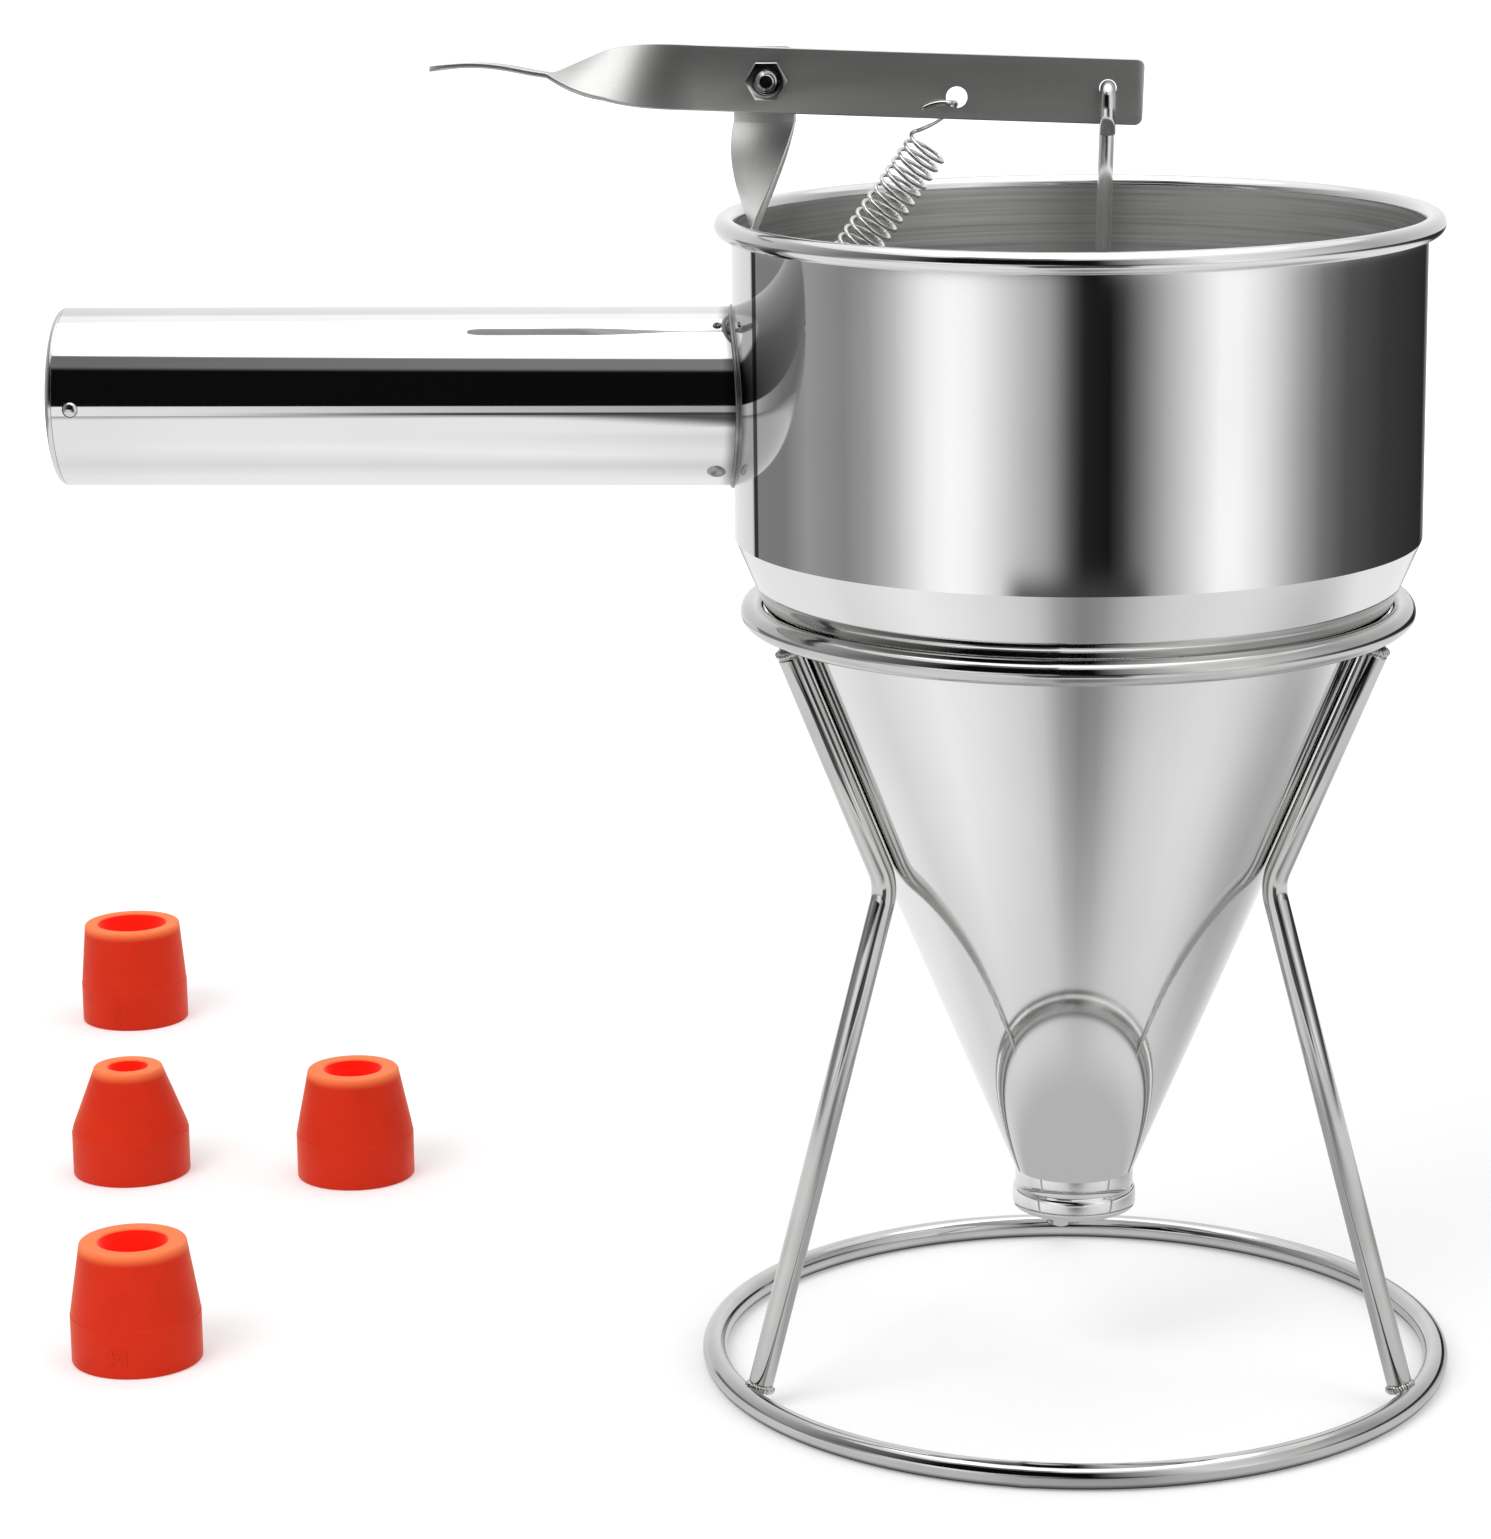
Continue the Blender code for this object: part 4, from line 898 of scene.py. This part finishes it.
def ring(name, radius, height, joint_angle, finish):
    """A wire ring with the faint swelling of its butt weld at an angle."""
    points, radii = [], []
    for i in range(360):
        angle = math.radians(i)
        points.append(at(radius * math.sin(angle), -radius * math.cos(angle), height))
        away = abs((i - joint_angle + 180) % 360 - 180)
        radii.append(1 + 0.035 * math.exp(-(away / 1.3) ** 2))
    return wire(name, points, WIRE_R, finish, sides=40, cyclic=True, radii=radii)


TOP_Z = cone_touch(TOP_R)
top_ring = ring("top_ring", TOP_R, TOP_Z, -3, bright_wire("top_ring_steel"))
base_ring = ring("base_ring", BASE_R, WIRE_R, -7, bright_wire("base_ring_steel"))
belongs(top_ring, "stand", "stand_top_ring")
belongs(base_ring, "stand", "stand_base_ring")
print("the upper ring's wire lies", round(TOP_Z, 2), "mm above the table")

# %% Legs
LEG_ANGLES = {"left": -62, "right": 67, "back": 182.5}
WAIST_BELOW_RING, FOOT_INSET, WAIST_BEND = 50.3, 2.6, 10.0


def leg_route():
    """(radius, height) of a leg's middle from its top to its foot."""
    top_height = TOP_Z - WIRE_R - 0.3 - WIRE_R * math.sin(CONE_ANGLE)
    down = Vector((math.sin(CONE_ANGLE), math.cos(CONE_ANGLE)))
    top = Vector((TOP_R - (TOP_Z - top_height) * SLOPE, top_height))
    waist = top - down * (top_height - (TOP_Z - WAIST_BELOW_RING)) / down.y
    ring_middle = Vector((BASE_R, WIRE_R))
    out = (Vector((BASE_R - FOOT_INSET, WIRE_R)) - waist).normalized()
    foot = waist + out * ((ring_middle - waist).dot(out) - WIRE_R - 0.25)
    bend = math.acos(down.dot(out))
    reach = WAIST_BEND / math.tan(bend / 2)
    first, last = waist + down * reach, waist + out * reach
    centre = waist + (down + out).normalized() * WAIST_BEND / math.sin(bend / 2)
    start = math.atan2(first.y - centre.y, first.x - centre.x)
    end = math.atan2(last.y - centre.y, last.x - centre.x)
    sweep = (end - start + math.pi) % math.tau - math.pi
    bent = [centre + WAIST_BEND * Vector((math.cos(start + sweep * i / 24), math.sin(start + sweep * i / 24)))
            for i in range(25)]
    return [top] + bent + [foot]


LEG_ROUTE = leg_route()
for side, degrees in LEG_ANGLES.items():
    angle = math.radians(degrees)
    points = [at(p.x * math.sin(angle), -p.x * math.cos(angle), p.y) for p in LEG_ROUTE]
    leg = wire(f"leg_{side}", points, WIRE_R, bright_wire(f"leg_{side}_steel"), sides=40)
    belongs(leg, "stand", f"stand_leg_{side}")
print("legs:", len(LEG_ROUTE), "points each, waist radius", round(min(p.x for p in LEG_ROUTE), 1), "mm")

# %% [markdown]
# ## Welds
# The legs are tacked to the rings by hand, and each tack is a small heap of overlapping ripples.
# That is a repeated shape along a path, so a tree does it: small flattened balls are set along a
# seam line, each turned and sized a little differently from a fixed seed.

# %% Weld ripple tree
weld_tree, given, result = new_group(
    "weld_ripples", "GeometryNodeTree",
    [("Seam", "Geometry", None), ("Ripple Radius", "Float", 0.0008), ("Spacing", "Float", 0.0005),
     ("Seed", "Int", 1), ("Finish", "Material", None)],
    [("Weld", "Geometry", None)])
spots = add_node(weld_tree, "GeometryNodeCurveToPoints",
                 {"Curve": given.outputs["Seam"], "Length": given.outputs["Spacing"]}, mode="LENGTH")
drop = add_node(weld_tree, "GeometryNodeMeshIcoSphere",
                {"Radius": given.outputs["Ripple Radius"], "Subdivisions": 3})
uneven = add_node(weld_tree, "FunctionNodeRandomValue",
                  {0: (0.75, 0.75, 0.55), 1: (1.2, 1.15, 0.85), "Seed": given.outputs["Seed"]},
                  data_type="FLOAT_VECTOR")
heap = add_node(weld_tree, "GeometryNodeInstanceOnPoints",
                {"Points": spots.outputs["Points"], "Rotation": spots.outputs["Rotation"],
                 "Instance": drop.outputs["Mesh"], "Scale": uneven.outputs[0]})
end_of_tree(weld_tree, heap.outputs["Instances"])

# %% Leg welds
weld_steel = plated_steel("weld_steel", shade=0.66, roughness=0.12)


def weld_round(name, centre, way, out, radius, ripple, seed, start=0, end=360):
    """Ripples on an arc round a wire, in the plane that a direction stands on."""
    side = way.cross(out).normalized()
    out = side.cross(way).normalized()
    points = []
    for i in range(25):
        angle = math.radians(start + (end - start) * i / 24)
        points.append(centre + radius * MM * (math.cos(angle) * out + math.sin(angle) * side))
    values = {"Ripple Radius": ripple * MM, "Spacing": ripple * 0.55 * MM, "Seed": seed, "Finish": weld_steel}
    return run_along(name, weld_tree, points, values)


for seed, (side, degrees) in enumerate(LEG_ANGLES.items()):
    angle = math.radians(degrees)
    out = Vector((math.sin(angle), -math.cos(angle), 0))
    spread = 70 if side == "back" else 150
    for end, (tip, before), lift, size, reach in (
            ("foot", (LEG_ROUTE[-1], LEG_ROUTE[-2]), 0.3, (2.1, 0.85, seed), (-spread, spread)),
            ("head", (LEG_ROUTE[0], LEG_ROUTE[1]), 0.4, (1.9, 0.7, seed + 7), (0, 360))):
        way = (out * (tip.x - before.x) + Vector((0, 0, tip.y - before.y))).normalized()
        point = AXIS + (out * tip.x + Vector((0, 0, tip.y))) * MM
        weld = weld_round(f"{end}_weld_{side}", point + way * lift * MM, way, out, *size, *reach)
        belongs(weld, "stand")
print("six leg welds")

# %% Handle weld and marks
# The joint is a fine dark line. Beside it are two tacks, and the vent hole near the end is plugged.
saddle = []
for i in range(240):
    angle = math.tau * i / 240
    y, z = -(HANDLE_R + 0.1) * math.cos(angle), (HANDLE_R + 0.1) * math.sin(angle)
    saddle.append(at(saddle_x(y, 0.25), y, HANDLE_Z + z))
joint_steel = plated_steel("handle_joint_steel", shade=0.34, roughness=0.28)
handle_weld = wire("handle_weld", saddle, 0.4, joint_steel, sides=16, cyclic=True)
belongs(handle_weld, "funnel")


def handle_mark(name, x, degrees, profile, material):
    """A small turned mark on the handle, at an angle up from its front."""
    angle = math.radians(degrees)
    place = at(x, -HANDLE_R * math.cos(angle), HANDLE_Z + HANDLE_R * math.sin(angle))
    turn = Matrix.Rotation(math.radians(90) - angle, 4, "X")
    mark = lathe(name, profile, place, [material], steps=48, turn=turn)
    belongs(mark, "funnel")


vent_plug = [(0, 0.42, 0), (0.45, 0.38, 0), (0.85, 0.26, 0), (1.2, 0.08, 0), (1.45, -0.2, 0), (1.45, -0.6, 0),
             (0, -0.6, 0)]
tack = [(0, 0.02, 0), (0.4, 0.06, 0), (0.8, 0.30, 0), (1.2, 0.36, 0), (1.6, 0.20, 0), (2.0, -0.2, 0),
        (2.0, -0.5, 0), (0, -0.5, 0)]
handle_mark("vent_plug", -189.0, 0, vent_plug, mirror_steel("plug_steel", shade=0.7, roughness=0.12))
handle_mark("lower_tack", -67.6, -48, tack, joint_steel)
handle_mark("upper_tack", -67.3, 59, [(radius * 0.5, height, 0) for radius, height, slot in tack],
            joint_steel)

# %% [markdown]
# ## Twisted flat bars
# The lever and its post are both flat bars with a quarter turn in them: the lever lies flat where the
# thumb presses it and stands on edge where it carries the spring and the rod. Each bar is a stack of
# sections, and a section is a flat rectangle with slightly rounded corners.


# %% Flat bar
def flat_bar(name, stations, materials, edge=0.28):
    """A bar through stations, each a centre, an across and a through direction, and two half sizes."""
    bm = bmesh.new()
    loops = []
    for centre, across, through, half_width, half_thickness in stations:
        loop = []
        round_off = min(edge, half_width * 0.9, half_thickness * 0.9)
        for sx, sy, start in ((1, 1, 0), (-1, 1, 90), (-1, -1, 180), (1, -1, 270)):
            for step in range(4):
                angle = math.radians(start + 30 * step)
                a = sx * (half_width - round_off) + round_off * math.cos(angle)
                t = sy * (half_thickness - round_off) + round_off * math.sin(angle)
                loop.append(bm.verts.new(centre + (a * across + t * through) * MM))
        loops.append(loop)
    for first, second in zip(loops, loops[1:]):
        for i in range(len(first)):
            j = (i + 1) % len(first)
            bm.faces.new((first[i], first[j], second[j], second[i]))
    bm.faces.new(loops[0])
    bm.faces.new(loops[-1])
    piece = new_piece(name, finished_mesh(name, bm), materials)
    tidy_mesh(piece.data, 40)
    return piece


def corner_half_width(half_width, corner, from_end):
    """Half the width near an end with rounded corners."""
    if from_end >= corner:
        return half_width
    return half_width - corner + math.sqrt(max(corner ** 2 - (corner - from_end) ** 2, 0))


def steps_between(start, end, count):
    return [start + (end - start) * i / count for i in range(count)]


# %% Lever post
POST_WIDTH, POST_THICKNESS = 11.6, 1.5
PIVOT_X, PIVOT_Z, POST_TOP, POST_SHIFT = -57.8, 250.7, 256.8, 0.7
POST_FOOT, LEAN_FROM, TWIST_FROM, TWIST_TO, LEAN = 190.0, 214.0, 222.0, 243.0, 2.0
foot_x = -(math.sqrt((BOWL_R - SHEET) ** 2 - (POST_WIDTH / 2) ** 2) - 0.3 - POST_THICKNESS / 2)


def post_station(z):
    lean = min(max((z - LEAN_FROM) / (TWIST_FROM - LEAN_FROM), 0), 1)
    share = min(max((z - TWIST_FROM) / (TWIST_TO - TWIST_FROM), 0), 1)
    x = foot_x + LEAN * lean
    x += (PIVOT_X - POST_SHIFT - x) * share ** 2
    angle = math.pi / 2 * share
    across = Vector((-math.sin(angle), math.cos(angle), 0))
    through = Vector((math.cos(angle), math.sin(angle), 0))
    half_width = corner_half_width(POST_WIDTH / 2, 1.5, POST_TOP - z)
    return at(x, 0, z), across, through, half_width, POST_THICKNESS / 2


post_heights = steps_between(POST_FOOT, LEAN_FROM, 4) + steps_between(LEAN_FROM, TWIST_TO, 60)
post_heights += steps_between(TWIST_TO, POST_TOP - 1.5, 4)
post_heights += [POST_TOP - 1.5 * (1 - math.sin(math.radians(90 * i / 10))) for i in range(10)]
post_heights += [POST_TOP - 0.01]
post_steel = brushed_steel("post_steel", (1500, 1500, 30), shade=0.95, roughness=0.36, change=0.06,
                           streaks=0.2)
post = flat_bar("post_bar", [post_station(z) for z in post_heights], [post_steel])
drill(post, PIVOT_X, 0, PIVOT_Z, 2.3, 8)
belongs(post, "funnel", "lever_post")

# %% Thumb lever
LEVER_Y = -2.35
LEVER_WIDTH, LEVER_THICKNESS, TILT = 12.2, 1.0, math.radians(2.2)
LEVER_RIGHT = Vector((math.cos(TILT), 0, -math.sin(TILT)))
LEVER_UP = Vector((math.sin(TILT), 0, math.cos(TILT)))
PIVOT = at(PIVOT_X, LEVER_Y, PIVOT_Z)
TWIST_START, TWIST_LENGTH, THUMB_REACH, LEVER_TIP = 13.1, 27.6, 63.1, 69.8
CROWN_START, DIP_LENGTH = TWIST_START + TWIST_LENGTH + 3.6, 14.1
BACK = Vector((0, 1, 0))


def lever_point(along, rise):
    return PIVOT + (along * LEVER_RIGHT + rise * LEVER_UP) * MM


def lever_station(along):
    left = -along
    twist = min(max((left - TWIST_START) / TWIST_LENGTH, 0), 1)
    angle = math.radians(94) * twist ** 1.5
    bow = min(max((left - CROWN_START) / (THUMB_REACH - CROWN_START), 0), 1)
    dip = min(max((left - CROWN_START) / DIP_LENGTH + 1, 0), 1)
    rise = 1.0 * math.sin(math.pi * bow) - 0.6 * math.sin(math.pi * dip)
    across = math.cos(angle) * LEVER_UP + math.sin(angle) * BACK
    through = math.cos(angle) * BACK - math.sin(angle) * LEVER_UP
    half_width = corner_half_width(LEVER_WIDTH / 2, 1.5, LEVER_TIP - along)
    half_width = min(half_width, corner_half_width(LEVER_WIDTH / 2, 4.0, THUMB_REACH - left))
    return lever_point(along, rise), across, through, half_width, LEVER_THICKNESS / 2


corner_steps = [1 - math.cos(math.radians(9 * i)) for i in range(11)]
reaches = [-THUMB_REACH + 4.0 * max(step, 0.002) for step in corner_steps]
reaches += steps_between(-THUMB_REACH + 4.3, -TWIST_START, 110) + [-TWIST_START, 0, 30, 50, 66]
reaches += [LEVER_TIP - 1.5 * max(step, 0.005) for step in reversed(corner_steps)]
lever_steel = brushed_steel("lever_steel", (60, 2200, 2200), shade=0.56, roughness=0.40, change=0.05,
                            streaks=0.25)
lever = flat_bar("lever_bar", [lever_station(along) for along in reaches], [lever_steel])
ROD_HOLE = lever_point(63.2, 0.6)
SPRING_HOLE = lever_point(35.3, -2.0)
for centre, radius in ((PIVOT, 2.3), (SPRING_HOLE, 2.0), (ROD_HOLE, 1.62)):
    place = (centre - AXIS) / MM
    drill(lever, place.x, place.y, place.z, radius, 8)
belongs(lever, "lever", "thumb_lever")
print("lever:", len(lever.data.polygons), "faces, post:", len(post.data.polygons), "faces")

# %% [markdown]
# ## The pivot
# A bolt from behind, a thin washer between post and lever, and a hexagon nut in front. The nut's
# corners are turned off on a lathe, so they sink a little below its face, and its edges are bevelled.
# The thread that stands out of the nut is a fine spiral ridge, made with the wire tree.

# %% Bolt, washer and nut
pivot_place = at(PIVOT_X, 0, PIVOT_Z)
BOLT_R, BOLT_FRONT = 2.0, 7.15
bolt_profile = [(0, BOLT_FRONT - 1.2, 1), (0.9, BOLT_FRONT - 1.0, 1), (1.0, BOLT_FRONT - 0.15, 0),
                (1.12, BOLT_FRONT, 0), (1.25, BOLT_FRONT, 0), (BOLT_R - 0.15, BOLT_FRONT - 0.5, 0),
                (BOLT_R - 0.15, -1.05, 0), (3.3, -1.05, 0), (3.6, -1.35, 0), (3.6, -3.2, 0)]
bolt_profile += arc((2.8, -3.05), 0.8, 0, -90, 6)[1:] + [(0, -3.85, 0)]
bolt_steel = plated_steel("bolt_steel", shade=0.7, roughness=0.12)
# The pit in the bolt's end is painted near black: painted shade in the recess.
pit_painted_shade = plated_steel("bolt_pit_painted_shade", shade=0.03, roughness=0.5)
bolt = lathe("bolt", bolt_profile, pivot_place, [bolt_steel, pit_painted_shade], steps=64, turn=ALONG_MINUS_Y)
belongs(bolt, "funnel", "pivot_bolt")

washer_profile = [(2.3, 1.1, 0), (2.3, 1.5, 0), (2.4, 1.55, 0), (4.3, 1.55, 0), (4.5, 1.4, 0),
                  (4.5, 1.2, 0), (4.3, 1.05, 0), (2.4, 1.05, 0)]
washer = lathe("washer", washer_profile, pivot_place, [plated_steel("washer_steel")], steps=96,
               turn=ALONG_MINUS_Y)
belongs(washer, "funnel", "pivot_washer")

# %% Nut
NUT_BACK, NUT_FRONT, NUT_FLAT = 3.15, 6.35, 3.5
FACE_R, BORE_R, SINK_R, EDGE = 3.05, 2.15, 2.5, 0.16
CHAMFER = math.tan(math.radians(13))


def nut_row(radius, height, inset=0.0, lowered=0.0):
    """A row of the nut. Without a radius it follows the hexagon, and sinks with the turned chamfer."""
    row = []
    for i in range(96):
        angle = math.tau * i / 96
        hexagon = NUT_FLAT / math.cos((i % 16) / 16 * math.pi / 3 - math.pi / 6) - inset
        reach = hexagon if radius is None else radius
        sink = max(reach - FACE_R, 0) * CHAMFER + lowered
        y = height - sink if height > 5 else height + sink
        row.append(pivot_place + Vector((reach * math.cos(angle), -y, reach * math.sin(angle))) * MM)
    return row


nut_rows = [nut_row(BORE_R, NUT_FRONT - 0.5), nut_row(SINK_R, NUT_FRONT), nut_row(FACE_R, NUT_FRONT),
            nut_row(None, NUT_FRONT, EDGE), nut_row(None, NUT_FRONT, 0, EDGE), nut_row(None, NUT_BACK),
            nut_row(FACE_R, NUT_BACK), nut_row(SINK_R, NUT_BACK), nut_row(BORE_R, NUT_BACK + 0.35)]
nut = skin("nut", nut_rows, [plated_steel("nut_steel", shade=0.66, roughness=0.07)], angle=20)
belongs(nut, "funnel", "pivot_nut")
print("nut:", len(nut.data.polygons), "faces")

# %% Thread ridge
THREAD_PITCH = 0.7
thread_points = []
for i in range(int((BOLT_FRONT - 3.4) / THREAD_PITCH * 24)):
    angle = math.tau * i / 24
    along = 3.4 + THREAD_PITCH * i / 24
    radius = (BOLT_R - 0.12) * MM
    offset = Vector((radius * math.cos(angle), -along * MM, radius * math.sin(angle)))
    thread_points.append(pivot_place + offset)
thread = wire("bolt_thread", thread_points, 0.16, plated_steel("thread_steel"), sides=8)
belongs(thread, "funnel")

# %% [markdown]
# ## The spring, its eye and the rod
# The return spring hooks into the lever and into a wire eye on the post. Its coil hangs beside the
# line of pull, as in the picture. Its line is worked out point by point and then swept by the wire
# tree.

# %% Spring
SPRING_WIRE, COIL_R, LOOP_R, TURNS, PER_TURN = 0.4, 3.85, 3.4, 18, 36
FREE_END = math.radians(115)
COIL_LEAN, HOOK_BOW = Vector((2.7, 2.8, 0)), 2.2
anchor = at(foot_x + POST_THICKNESS / 2 + 0.3 + 2.8, LEVER_Y, 206.1)
pull = (SPRING_HOLE - anchor).normalized()
beside = BACK.cross(pull)
upper_end = SPRING_HOLE - 1.3 * MM * pull
lower_end = anchor + 1.3 * MM * pull
coil_top = upper_end - 2 * LOOP_R * MM * pull
coil_length = (coil_top - lower_end).length - 2 * LOOP_R * MM
BEND_START, BEND_R, HOOK_CURL_R, CURL_ANGLE = 0.4, 1.2, 7.5, math.radians(35)
bend_start = upper_end - BEND_START * MM * BACK
bend_end = bend_start - BEND_R * MM * (BACK + LEVER_RIGHT)
spring_line = []
for i in range(14):
    angle = CURL_ANGLE * (1 - i / 14)
    curl = math.sin(angle) * LEVER_RIGHT + (1 - math.cos(angle)) * LEVER_UP
    spring_line.append(bend_end - HOOK_CURL_R * MM * curl)
for i in range(12):
    angle = math.pi / 2 * (1 - i / 12)
    bend = math.sin(angle) * BACK + (1 - math.cos(angle)) * LEVER_RIGHT
    spring_line.append(bend_start - BEND_R * MM * bend)
for i in range(24):
    angle = math.pi * i / 24
    shift = ((i / 24) ** 2 * (3 - 2 * i / 24) * COIL_LEAN - HOOK_BOW * math.sin(angle) * LEVER_RIGHT) * MM
    spring_line.append(upper_end + LOOP_R * MM * ((math.cos(angle) - 1) * pull + math.sin(angle) * BACK) - shift)
coil_way = (coil_length * pull - 2 * MM * COIL_LEAN).normalized()
coil_beside = BACK.cross(coil_way).normalized()
coil_back = coil_way.cross(coil_beside)
for i in range(TURNS * PER_TURN + 1):
    turns = i / PER_TURN
    angle = math.tau * turns
    lean = 2 * turns / TURNS - 1
    centre = coil_top + COIL_R * MM * beside - coil_length * turns / TURNS * pull + lean * COIL_LEAN * MM
    spring_line.append(centre - COIL_R * MM * (math.sin(angle) * coil_back + math.cos(angle) * coil_beside))
loop_turn = math.pi + FREE_END
for i in range(1, 31):
    angle = loop_turn * i / 30
    shift = max(1 - i / 16, 0) * COIL_LEAN * MM
    spring_line.append(lower_end + LOOP_R * MM * ((math.cos(angle) + 1) * pull - math.sin(angle) * BACK) + shift)
spring_radii = [0.9] + [1.3] * 25 + [1.3 - 0.3 * i / 12 for i in range(12)]
spring_radii += [1.0] * (len(spring_line) - len(spring_radii))
spring = wire("spring", spring_line, SPRING_WIRE, bright_wire("spring_steel", shade=0.72, roughness=0.05),
              sides=12, radii=spring_radii)
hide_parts("return_spring")
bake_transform(spring)
print("spring:", len(spring_line), "points, coil", round(coil_length / MM, 1), "mm long")

# %% Eye on the post
face_x = foot_x + POST_THICKNESS / 2 + 0.1
eye_line = [at(face_x, LEVER_Y, 209.1), at(face_x + 2.9, LEVER_Y, 209.1)]
for i in range(1, 24):
    angle = math.radians(90 - 180 * i / 24)
    eye_line.append(anchor + 3.0 * MM * Vector((math.cos(angle), 0, math.sin(angle))))
eye_line += [at(face_x + 2.9, LEVER_Y, 203.1), at(face_x, LEVER_Y, 203.1)]
eye = wire("spring_eye", eye_line, 1.0, plated_steel("eye_steel", shade=0.7, roughness=0.12), sides=20)
belongs(eye, "funnel", "spring_anchor")

# %% Rod
ROD_R = 1.45
STOPPER_BOTTOM, STOPPER_LENGTH = 40.3, 7.0
rod_place = (ROD_HOLE - AXIS) / MM
hook_z = rod_place.z + LEVER_Y
rod_line = [at(0, 0, 42.1), at(0, 0, 49.3)]
for i in range(33):
    angle = math.radians(180 * i / 32)
    rod_line.append(at(rod_place.x, LEVER_Y - LEVER_Y * math.cos(angle), hook_z - LEVER_Y * math.sin(angle)))
rod_line.append(at(rod_place.x, 2 * LEVER_Y, rod_place.z - 8.5))
rod_steel = bright_wire("rod_steel", shade=0.7, roughness=0.09)
rod = wire("rod", rod_line, ROD_R, rod_steel, sides=32)
belongs(rod, "stopper", "stopper_rod")

# %% Stopper
drop = 0.3 / math.cos(CONE_ANGLE)
low_r = NECK_R - SHEET - drop + SLOPE * 1.0
high_r = low_r + SLOPE * STOPPER_LENGTH
stopper_top = STOPPER_BOTTOM + STOPPER_LENGTH
stopper_profile = [(0, 41.8, 0), (1.75, 41.8, 0), (1.75, stopper_top - 0.2, 0), (1.95, stopper_top, 0),
                   (high_r - 0.5, stopper_top, 0), (high_r - 0.1, stopper_top - 0.3, 0),
                   (low_r, STOPPER_BOTTOM, 0), (9.2, STOPPER_BOTTOM, 0), (8.0, STOPPER_BOTTOM - 2.6, 0),
                   (7.4, STOPPER_BOTTOM - 3.0, 0), (0, STOPPER_BOTTOM - 3.0, 0)]
stopper = lathe("stopper", stopper_profile, AXIS, [brushed_steel("stopper_steel", (20, 20, 1300), shade=0.6)],
                steps=128)
belongs(stopper, "stopper", "outlet_stopper")

# %% [markdown]
# ## The silicone nozzles
# Each nozzle is a cap: a straight skirt grips the neck, and a cone leads to the mouth. They stand on
# their skirts, mouth up. The moulded lip is softly rounded, a faint step marks where the mould's two
# halves met, and the size of the mouth in millimetres is raised on the skirt, upside down as the
# nozzle stands.

# %% Nozzles
NOZZLES = {
    "nozzle_17mm": (17.0, 23.4, (-235.0, 230.0), 0),
    "nozzle_9mm": (9.0, 15.4, (-210.9, 108.0), 180),
    "nozzle_13mm": (13.0, 20.2, (-160.2, 108.0), 180),
    "nozzle_14mm": (14.0, 21.4, (-185.6, -10.0), 0),
}
SKIRT_R, SKIRT_INNER, SKIRT_HEIGHT, NOZZLE_HEIGHT, LIP_ROUND = 13.0, 11.2, 10.0, 24.5, 0.6


def nozzle_profile(bore, mouth):
    inner, outer = bore / 2, mouth / 2
    profile = [(SKIRT_R - 0.45, 0, 0)] + arc((SKIRT_R - 0.45, 0.45), 0.45, -90, 0, 6)[1:]
    profile += [(SKIRT_R, SKIRT_HEIGHT - 0.15, 0), (SKIRT_R - 0.12, SKIRT_HEIGHT, 0)]
    lean = (SKIRT_R - outer) / (NOZZLE_HEIGHT - SKIRT_HEIGHT)
    for i in range(1, 6):
        up_by = 0.9 * i / 5
        profile.append((SKIRT_R - 0.12 - lean * up_by * (0.5 + 0.1 * i), SKIRT_HEIGHT + up_by * 1.5, 0))
    profile += arc((outer - LIP_ROUND, NOZZLE_HEIGHT - LIP_ROUND), LIP_ROUND, 8, 90, 8)
    profile += arc((inner + 0.35, NOZZLE_HEIGHT - 0.35), 0.35, 90, 180, 6)
    profile[-1] = (*profile[-1][:2], 1)
    profile += [(inner, NOZZLE_HEIGHT - 2, 1), (SKIRT_INNER, SKIRT_HEIGHT, 1), (SKIRT_INNER, 0.3, 0),
                (SKIRT_INNER + 0.3, 0, 0)]
    return profile


for name, (bore, mouth, (x, y), facing) in NOZZLES.items():
    rubber = silicone(f"{name}_silicone")
    # The inner wall is a brighter copy of the silicone that also glows: painted light that stands for light
    # through the wall.
    inside = silicone(f"{name}_inside", (0.80, 0.012, 0.003, 1), lip_light=0.0, glow=0.34)
    cap_piece = lathe(f"{name}_cap", nozzle_profile(bore, mouth), at(x, y, 0), [rubber, inside], steps=192)
    cap_piece.visible_glossy = False
    belongs(cap_piece, f"loose_{name}", name)
print("four nozzles")


# %% Raised numbers
def raised_number(name, text, place, facing, material):
    """Figures wrapped round the skirt, upside down, standing a little out of it."""
    words = bpy.data.curves.new(name, "FONT")
    words.body = text
    words.size = 4.6 * MM
    words.align_x = "CENTER"
    words.align_y = "CENTER"
    words.extrude = 0.22 * MM
    words.bevel_depth = 0.05 * MM
    words.resolution_u = 4
    holder = new_piece(name, words)
    mesh = evaluated_mesh(holder)
    bpy.data.objects.remove(holder)
    for vertex in mesh.vertices:
        x, y, depth = -vertex.co.x, -vertex.co.y, vertex.co.z
        angle = x / (SKIRT_R * MM) + math.radians(facing)
        reach = (SKIRT_R - 0.08) * MM + depth
        vertex.co = (reach * math.sin(angle), -reach * math.cos(angle), 4.6 * MM + y)
    mesh.transform(Matrix.Translation(place))
    mesh.materials.clear()
    return new_piece(name, mesh, [material])


for name, (bore, mouth, (x, y), facing) in NOZZLES.items():
    rubber = bpy.data.materials[f"{name}_silicone"]
    number = raised_number(f"{name}_number", f"{bore:.0f}", at(x, y, 0), facing - 4, rubber)
    number.visible_glossy = False
    belongs(number, f"loose_{name}")
